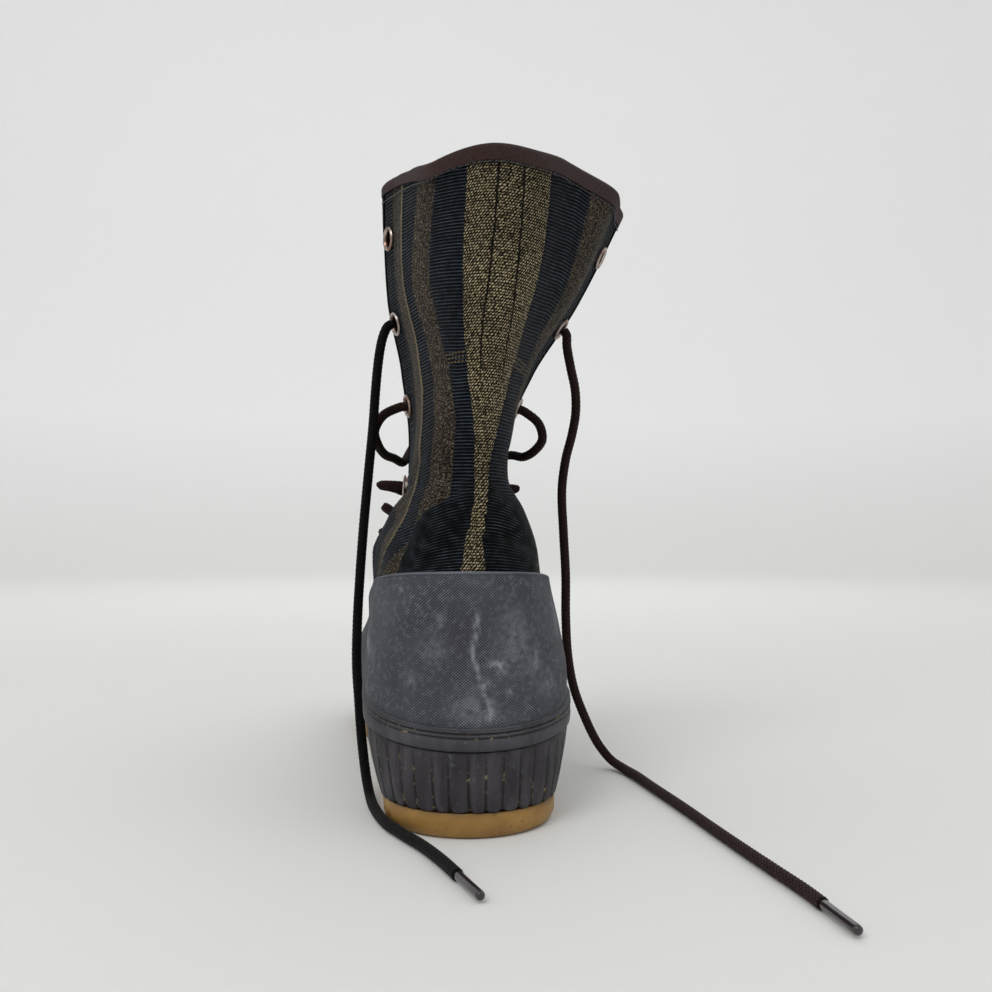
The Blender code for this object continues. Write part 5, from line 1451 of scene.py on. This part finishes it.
def braided_tube(name, route, finish):
    """A round braided lace along a route, its plaits raised in two crossing families."""
    run = run_along(route)
    angle = np.arange(LACE_SIDES) / LACE_SIDES * PLAITS
    forward = np.abs(np.sin(np.pi * (angle[None] + run[:, None] / PLAIT_LENGTH)))
    backward = np.abs(np.sin(np.pi * (angle[None] - run[:, None] / PLAIT_LENGTH)))
    plait = forward * backward
    radii = LACE_DIAMETER / 2 * (1.02 - PLAIT_HEIGHT * (1 - plait))
    return tube(name, route, radii, LACE_SIDES, [finish], {"plait": plait})


def lace_arm(slack, side, over):
    """Route of the lace out of one eyelet, over the throat and up behind the far facing's eyelet."""
    level, above = EYELET_LEVELS[slack.eyelet - 1], EYELET_LEVELS[slack.eyelet - 2]
    turn, far_turn = side * eyelet_turn(level), -side * eyelet_turn(above)
    sag, drop = (slack.inner_sag, LOOP_DROPS[0]) if side > 0 else (slack.outer_sag, LOOP_DROPS[1])
    low = level - drop * sag
    edge, far_edge = side * float(facing_turn(low)), -side * float(facing_turn(above))
    reach = edge - turn
    mouth = seat_height(turn, level) + EYELET_ROLL / 2
    clear = mouth + LACE_RISE
    stations = [(turn, level, BEHIND), (turn, level, mouth), (turn, level, clear),
                (turn, level - 0.12 * sag, clear + 0.65 * slack.bulge),
                (turn, level - 0.45 * sag, clear + slack.bulge),
                (turn, level - 0.80 * sag, clear + 0.86 * slack.bulge),
                (turn + 0.3 * reach, level - 1.0 * sag, clear + 0.55 * slack.bulge),
                (turn + 0.65 * reach, level - (1 + drop) / 2 * sag, clear + 0.22 * slack.bulge),
                (edge, low, slack.edge)]
    span = 2 - abs(edge) - abs(far_edge)
    for share in (0.25, 0.5, 0.78):
        spot = float(wrap(side * (abs(edge) + span * share)))
        lift = slack.lift + over * math.exp(-((share - 0.5) / 0.22) ** 2)
        if share > 0.7:
            lift = min(slack.lift * 0.35, 2.0)
        stations.append((spot, low + (above - low) * share ** SAG_POWER, lift))
    stations += [(far_edge + (far_turn - far_edge) * 0.15, above, BEHIND), (far_turn, above, BEHIND)]
    return [skin_point(*station) for station in stations]


def build_crossings(finish):
    """The slack crossings, each from its eyelet over the throat to the next one up, and the lowest bar."""
    for slack in SLACKS:
        for side, letter in ((1, "m"), (-1, "l")):
            route = curve_through(lace_arm(slack, side, OVER * side), LACE_STEP)
            piece = braided_tube(f"lace_run_{slack.eyelet}{letter}", route, finish)
            object_group(piece, [f"lace_cross_{slack.eyelet}"])
    low = EYELET_LEVELS[-1]
    turn = eyelet_turn(low)
    half_way = (1 + turn) / 2
    bar = [skin_point(spot, low, offset) for spot, offset in (
        (turn, 0.0), (turn, BEHIND), (half_way, BEHIND - 0.6), (1.0, BEHIND - 0.8),
        (-half_way, BEHIND - 0.6), (-turn, BEHIND), (-turn, 0.0))]
    object_group(braided_tube("lace_run_bar", curve_through(bar, LACE_STEP), finish))


def build_lace_ends(inner_finish, outer_finish):
    """The two free ends from the second eyelets to the floor, each with its aglet."""
    plastic = aglet_material()
    ends = ("medial", MEDIAL_ROUTE, inner_finish), ("lateral", LATERAL_ROUTE, outer_finish)
    for side, hand, finish in ends:
        route = curve_through(hand, LACE_STEP)
        end = braided_tube(f"lace_free_{side}", route, finish)
        along = route[-1] - route[-4]
        along /= np.linalg.norm(along)
        start = route[-1] + GAP * along
        run, radii = np.array(AGLET_RUN), np.array(AGLET_SHARES) * AGLET_DIAMETER / 2
        middle = start + run[:, None] * along
        aglet = tube(f"aglet_sleeve_{side}", middle, radii[:, None], AGLET_SIDES, [plastic])
        object_group(aglet, [f"aglet_{side}"])
        object_group(end, [f"lace_end_{side}"])


# ---------------------------------------------------------------- stage
EYE = (42.0, 401.0, 112.0)  # the camera, about knee high behind the heel
VIEW_PAN, VIEW_TILT = 7.8, 1.96  # degrees towards the outer side, and up
LENS, SENSOR = 36.1, 36.0  # mm
FLOOR_RADIUS, SWEEP_RADIUS, SWEEP_TOP = 2.2, 1.2, 3.2  # metres
BOOT_MIDDLE, WALL_MIDDLE = (-0.02, -0.02, 0.12), (0.0, -3.2, 0.9)
WORLD_COLOUR, WORLD_STRENGTH = "#f0f1f1", 0.84

# Soft round lamps: places and sizes in metres, and power in watts. The key lamp's power is a setting.
Lamp = namedtuple("Lamp", "name place aim size power")
LAMPS = (
    Lamp("fill", (-1.3, 0.8, 1.0), BOOT_MIDDLE, 1.4, 1.2),
    Lamp("toe", (-0.3, -1.4, 1.5), BOOT_MIDDLE, 1.4, 3.5),
    Lamp("back", (0.0, -1.0, 1.7), WALL_MIDDLE, 1.5, 8.5),
)


def build_floor(colour):
    """A pale floor that sweeps up all round."""
    profile = [(0.0, 0.0), (0.6, 0.0), (1.4, 0.0), (FLOOR_RADIUS, 0.0)]
    for angle in np.radians(np.linspace(7.5, 90.0, 12)):
        profile.append((FLOOR_RADIUS + SWEEP_RADIUS * math.sin(angle), SWEEP_RADIUS * (1 - math.cos(angle))))
    profile.append((FLOOR_RADIUS + SWEEP_RADIUS, SWEEP_TOP))
    mesh = bpy.data.meshes.new("floor_sweep")
    work = bmesh.new()
    line = [work.verts.new((x, 0.0, z)) for x, z in profile]
    edges = [work.edges.new(pair) for pair in zip(line, line[1:])]
    upright, middle = (0.0, 0.0, 1.0), (0.0, 0.0, 0.0)
    bmesh.ops.spin(work, geom=line + edges, axis=upright, cent=middle, steps=72, angle=2 * math.pi)
    bmesh.ops.remove_doubles(work, verts=work.verts[:], dist=0.0001)
    bmesh.ops.recalc_face_normals(work, faces=work.faces[:])
    if work.faces[0].normal.z < 0:
        bmesh.ops.reverse_faces(work, faces=work.faces[:])
    work.to_mesh(mesh)
    work.free()
    mesh.shade_smooth()
    mesh.materials.append(floor_material(colour))
    floor = bpy.data.objects.new("floor_sweep", mesh)
    bpy.context.scene.collection.objects.link(floor)


def build_lights(key_power):
    """Broad soft lights from the upper left and right, one on the wall behind, and an even pale world."""
    for lamp in (Lamp("key", (0.75, 1.05, 1.35), BOOT_MIDDLE, 0.9, key_power), *LAMPS):
        data = bpy.data.lights.new(lamp.name, "AREA")
        data.shape, data.size, data.energy = "DISK", lamp.size, lamp.power
        light = bpy.data.objects.new(lamp.name, data)
        light.location = lamp.place
        towards = mathutils.Vector(np.subtract(lamp.aim, lamp.place))
        light.rotation_euler = towards.to_track_quat("-Z", "Y").to_euler()
        bpy.context.scene.collection.objects.link(light)
    world = bpy.data.worlds.new("studio")
    world.use_nodes = True
    background = world.node_tree.nodes["Background"].inputs
    background["Color"].default_value = linear(WORLD_COLOUR)
    background["Strength"].default_value = WORLD_STRENGTH
    bpy.context.scene.world = world
    bpy.context.scene.view_settings.view_transform = "Standard"


def build_camera():
    """The camera stands close behind the heel, a little to the inner side."""
    data = bpy.data.cameras.new("camera")
    data.lens, data.sensor_width = LENS, SENSOR
    data.clip_start = 0.01
    camera = bpy.data.objects.new("camera", data)
    camera.location = [c * MM for c in EYE]
    pan, tilt = math.radians(VIEW_PAN), math.radians(VIEW_TILT)
    towards = mathutils.Vector((-math.sin(pan), -math.cos(pan), math.tan(tilt)))
    camera.rotation_euler = towards.to_track_quat("-Z", "Y").to_euler()
    bpy.context.scene.collection.objects.link(camera)
    bpy.context.scene.camera = camera


# ---------------------------------------------------------------- settings
def colour_setting(name, description, hex_colour):
    """A colour that a user may change, with its default given as a hex value."""
    return bpy.props.FloatVectorProperty(name=name, description=description, default=linear(hex_colour),
                                         size=4, min=0.0, max=1.0, subtype="COLOR")


def length_setting(name, description, length):
    """A length that a user may change, with its default given in mm."""
    return bpy.props.FloatProperty(name=name, description=description, default=length * MM,
                                   min=0.5 * length * MM, max=1.5 * length * MM, precision=4, unit="LENGTH")


def in_mm(length):
    """A setting's length in mm, clear of the setting's own rounding."""
    return round(length / MM, 4)


class DuckBootSettings(bpy.types.PropertyGroup):
    """Sizes and colours of the boot that a user would change."""
    rubber_shade: colour_setting("Rubber shade", "Darker patches of the grey rubber", "#54565e")
    rubber_colour: colour_setting("Rubber colour", "Paler patches of the grey rubber", "#6c6f78")
    gum_shade: colour_setting("Gum shade", "Darker patches of the gum sole", "#96703a")
    gum_colour: colour_setting("Gum colour", "Paler patches of the gum sole", "#b08948")
    # The tape and lace colours are the lit tones of their raised wales and plaits: painted highlight.
    tape_colour: colour_setting("Collar tape colour", "Raised wales of the collar's twill tape", "#4a3533")
    inner_lace_colour: colour_setting("Inner lace colour", "Raised plaits of the lace's inner end", "#100e0e")
    outer_lace_colour: colour_setting("Outer lace colour", "Raised plaits of the rest of the lace", "#48312f")
    floor_colour: colour_setting("Floor colour", "The floor underfoot", "#e5e5e3")
    collar_tape_width: length_setting("Collar tape width", "How far the tape reaches down the collar", 4.6)
    stitch_length: length_setting("Stitch length", "Length of each stitch", 2.1)
    stitch_pitch: length_setting("Stitch pitch", "Distance from one stitch to the next", 2.9)
    key_power: bpy.props.FloatProperty(
        name="Key light", description="Power of the key light", default=9.5, min=0.0, max=100.0, unit="POWER")


# ---------------------------------------------------------------- operators
class DUCKBOOT_OT_lace_ends(bpy.types.Operator):
    """Build the two free ends of the lace and their aglets"""
    bl_idname = "duckboot.lace_ends"
    bl_label = "Lace ends"

    def execute(self, context):
        chosen = context.scene.duck_boot
        inner = lace_material("polyester_braid_black", "#050405", chosen.inner_lace_colour)
        build_lace_ends(inner, brown_lace(chosen.outer_lace_colour))
        return {"FINISHED"}


class DUCKBOOT_OT_camera(bpy.types.Operator):
    """Place the camera behind the heel"""
    bl_idname = "duckboot.camera"
    bl_label = "Camera"

    def execute(self, context):
        build_camera()
        return {"FINISHED"}


class DUCKBOOT_OT_crossings(bpy.types.Operator):
    """Lace the boot through its lower eyelets"""
    bl_idname = "duckboot.crossings"
    bl_label = "Lace crossings"

    def execute(self, context):
        build_crossings(brown_lace(context.scene.duck_boot.outer_lace_colour))
        return {"FINISHED"}


class DUCKBOOT_OT_shaft(bpy.types.Operator):
    """Build the woven shaft and the lining"""
    bl_idname = "duckboot.shaft"
    bl_label = "Shaft and lining"

    def execute(self, context):
        build_shaft()
        return {"FINISHED"}


class DUCKBOOT_OT_tongue(bpy.types.Operator):
    """Build the bellows tongue"""
    bl_idname = "duckboot.tongue"
    bl_label = "Tongue"

    def execute(self, context):
        build_tongue()
        return {"FINISHED"}


class DUCKBOOT_OT_tapes(bpy.types.Operator):
    """Bind the collar and the facings with tape"""
    bl_idname = "duckboot.tapes"
    bl_label = "Binding tapes"

    def execute(self, context):
        chosen = context.scene.duck_boot
        build_tapes(in_mm(chosen.collar_tape_width), chosen.tape_colour)
        return {"FINISHED"}


class DUCKBOOT_OT_counter_and_vamp(bpy.types.Operator):
    """Build the grey rubber of the heel and the forefoot"""
    bl_idname = "duckboot.counter_and_vamp"
    bl_label = "Counter and vamp"

    def execute(self, context):
        chosen = context.scene.duck_boot
        build_counter_and_vamp(chosen.rubber_shade, chosen.rubber_colour)
        return {"FINISHED"}


class DUCKBOOT_OT_bands(bpy.types.Operator):
    """Build the rim band and the ribbed foxing"""
    bl_idname = "duckboot.bands"
    bl_label = "Rim band and foxing"

    def execute(self, context):
        build_rim_band()
        build_foxing()
        return {"FINISHED"}


class DUCKBOOT_OT_outsole(bpy.types.Operator):
    """Build the gum outsole"""
    bl_idname = "duckboot.outsole"
    bl_label = "Outsole"

    def execute(self, context):
        chosen = context.scene.duck_boot
        build_outsole(chosen.gum_shade, chosen.gum_colour)
        return {"FINISHED"}


class DUCKBOOT_OT_insole(bpy.types.Operator):
    """Build the padded insole"""
    bl_idname = "duckboot.insole"
    bl_label = "Insole"

    def execute(self, context):
        build_insole()
        return {"FINISHED"}


class DUCKBOOT_OT_eyelets(bpy.types.Operator):
    """Set the fourteen eyelets"""
    bl_idname = "duckboot.eyelets"
    bl_label = "Eyelets"

    def execute(self, context):
        build_eyelets()
        return {"FINISHED"}


class DUCKBOOT_OT_stitches(bpy.types.Operator):
    """Sew the rows of stitches"""
    bl_idname = "duckboot.stitches"
    bl_label = "Stitches"

    def execute(self, context):
        chosen = context.scene.duck_boot
        build_stitches(in_mm(chosen.stitch_length), in_mm(chosen.stitch_pitch))
        return {"FINISHED"}


class DUCKBOOT_OT_stage(bpy.types.Operator):
    """Build the floor and the lights"""
    bl_idname = "duckboot.stage"
    bl_label = "Stage"

    def execute(self, context):
        chosen = context.scene.duck_boot
        build_floor(chosen.floor_colour)
        build_lights(chosen.key_power)
        return {"FINISHED"}


STEPS = (DUCKBOOT_OT_lace_ends, DUCKBOOT_OT_camera, DUCKBOOT_OT_crossings, DUCKBOOT_OT_shaft,
         DUCKBOOT_OT_tongue, DUCKBOOT_OT_tapes, DUCKBOOT_OT_counter_and_vamp, DUCKBOOT_OT_bands,
         DUCKBOOT_OT_outsole, DUCKBOOT_OT_insole, DUCKBOOT_OT_eyelets, DUCKBOOT_OT_stitches,
         DUCKBOOT_OT_stage)


class DUCKBOOT_PT_panel(bpy.types.Panel):
    """Lists the boot's settings and the steps that build it"""
    bl_label = "Duck Boot"
    bl_idname = "DUCKBOOT_PT_panel"
    bl_space_type = "VIEW_3D"
    bl_region_type = "UI"
    bl_category = "Duck Boot"

    def draw(self, context):
        for name in DuckBootSettings.__annotations__:
            self.layout.prop(context.scene.duck_boot, name)
        for operator in STEPS:
            self.layout.operator(operator.bl_idname)


CLASSES = (DuckBootSettings, *STEPS, DUCKBOOT_PT_panel)


def register():
    """Register the settings, the operators and the panel."""
    for item in CLASSES:
        bpy.utils.register_class(item)
    bpy.types.Scene.duck_boot = bpy.props.PointerProperty(type=DuckBootSettings)


def unregister():
    """Remove them again, in the opposite order."""
    del bpy.types.Scene.duck_boot
    for item in reversed(CLASSES):
        bpy.utils.unregister_class(item)


def main():
    """Build the whole boot and its stage."""
    register()
    for operator in STEPS:
        group, name = operator.bl_idname.split(".")
        getattr(getattr(bpy.ops, group), name)()


if __name__ == "__main__":
    main()
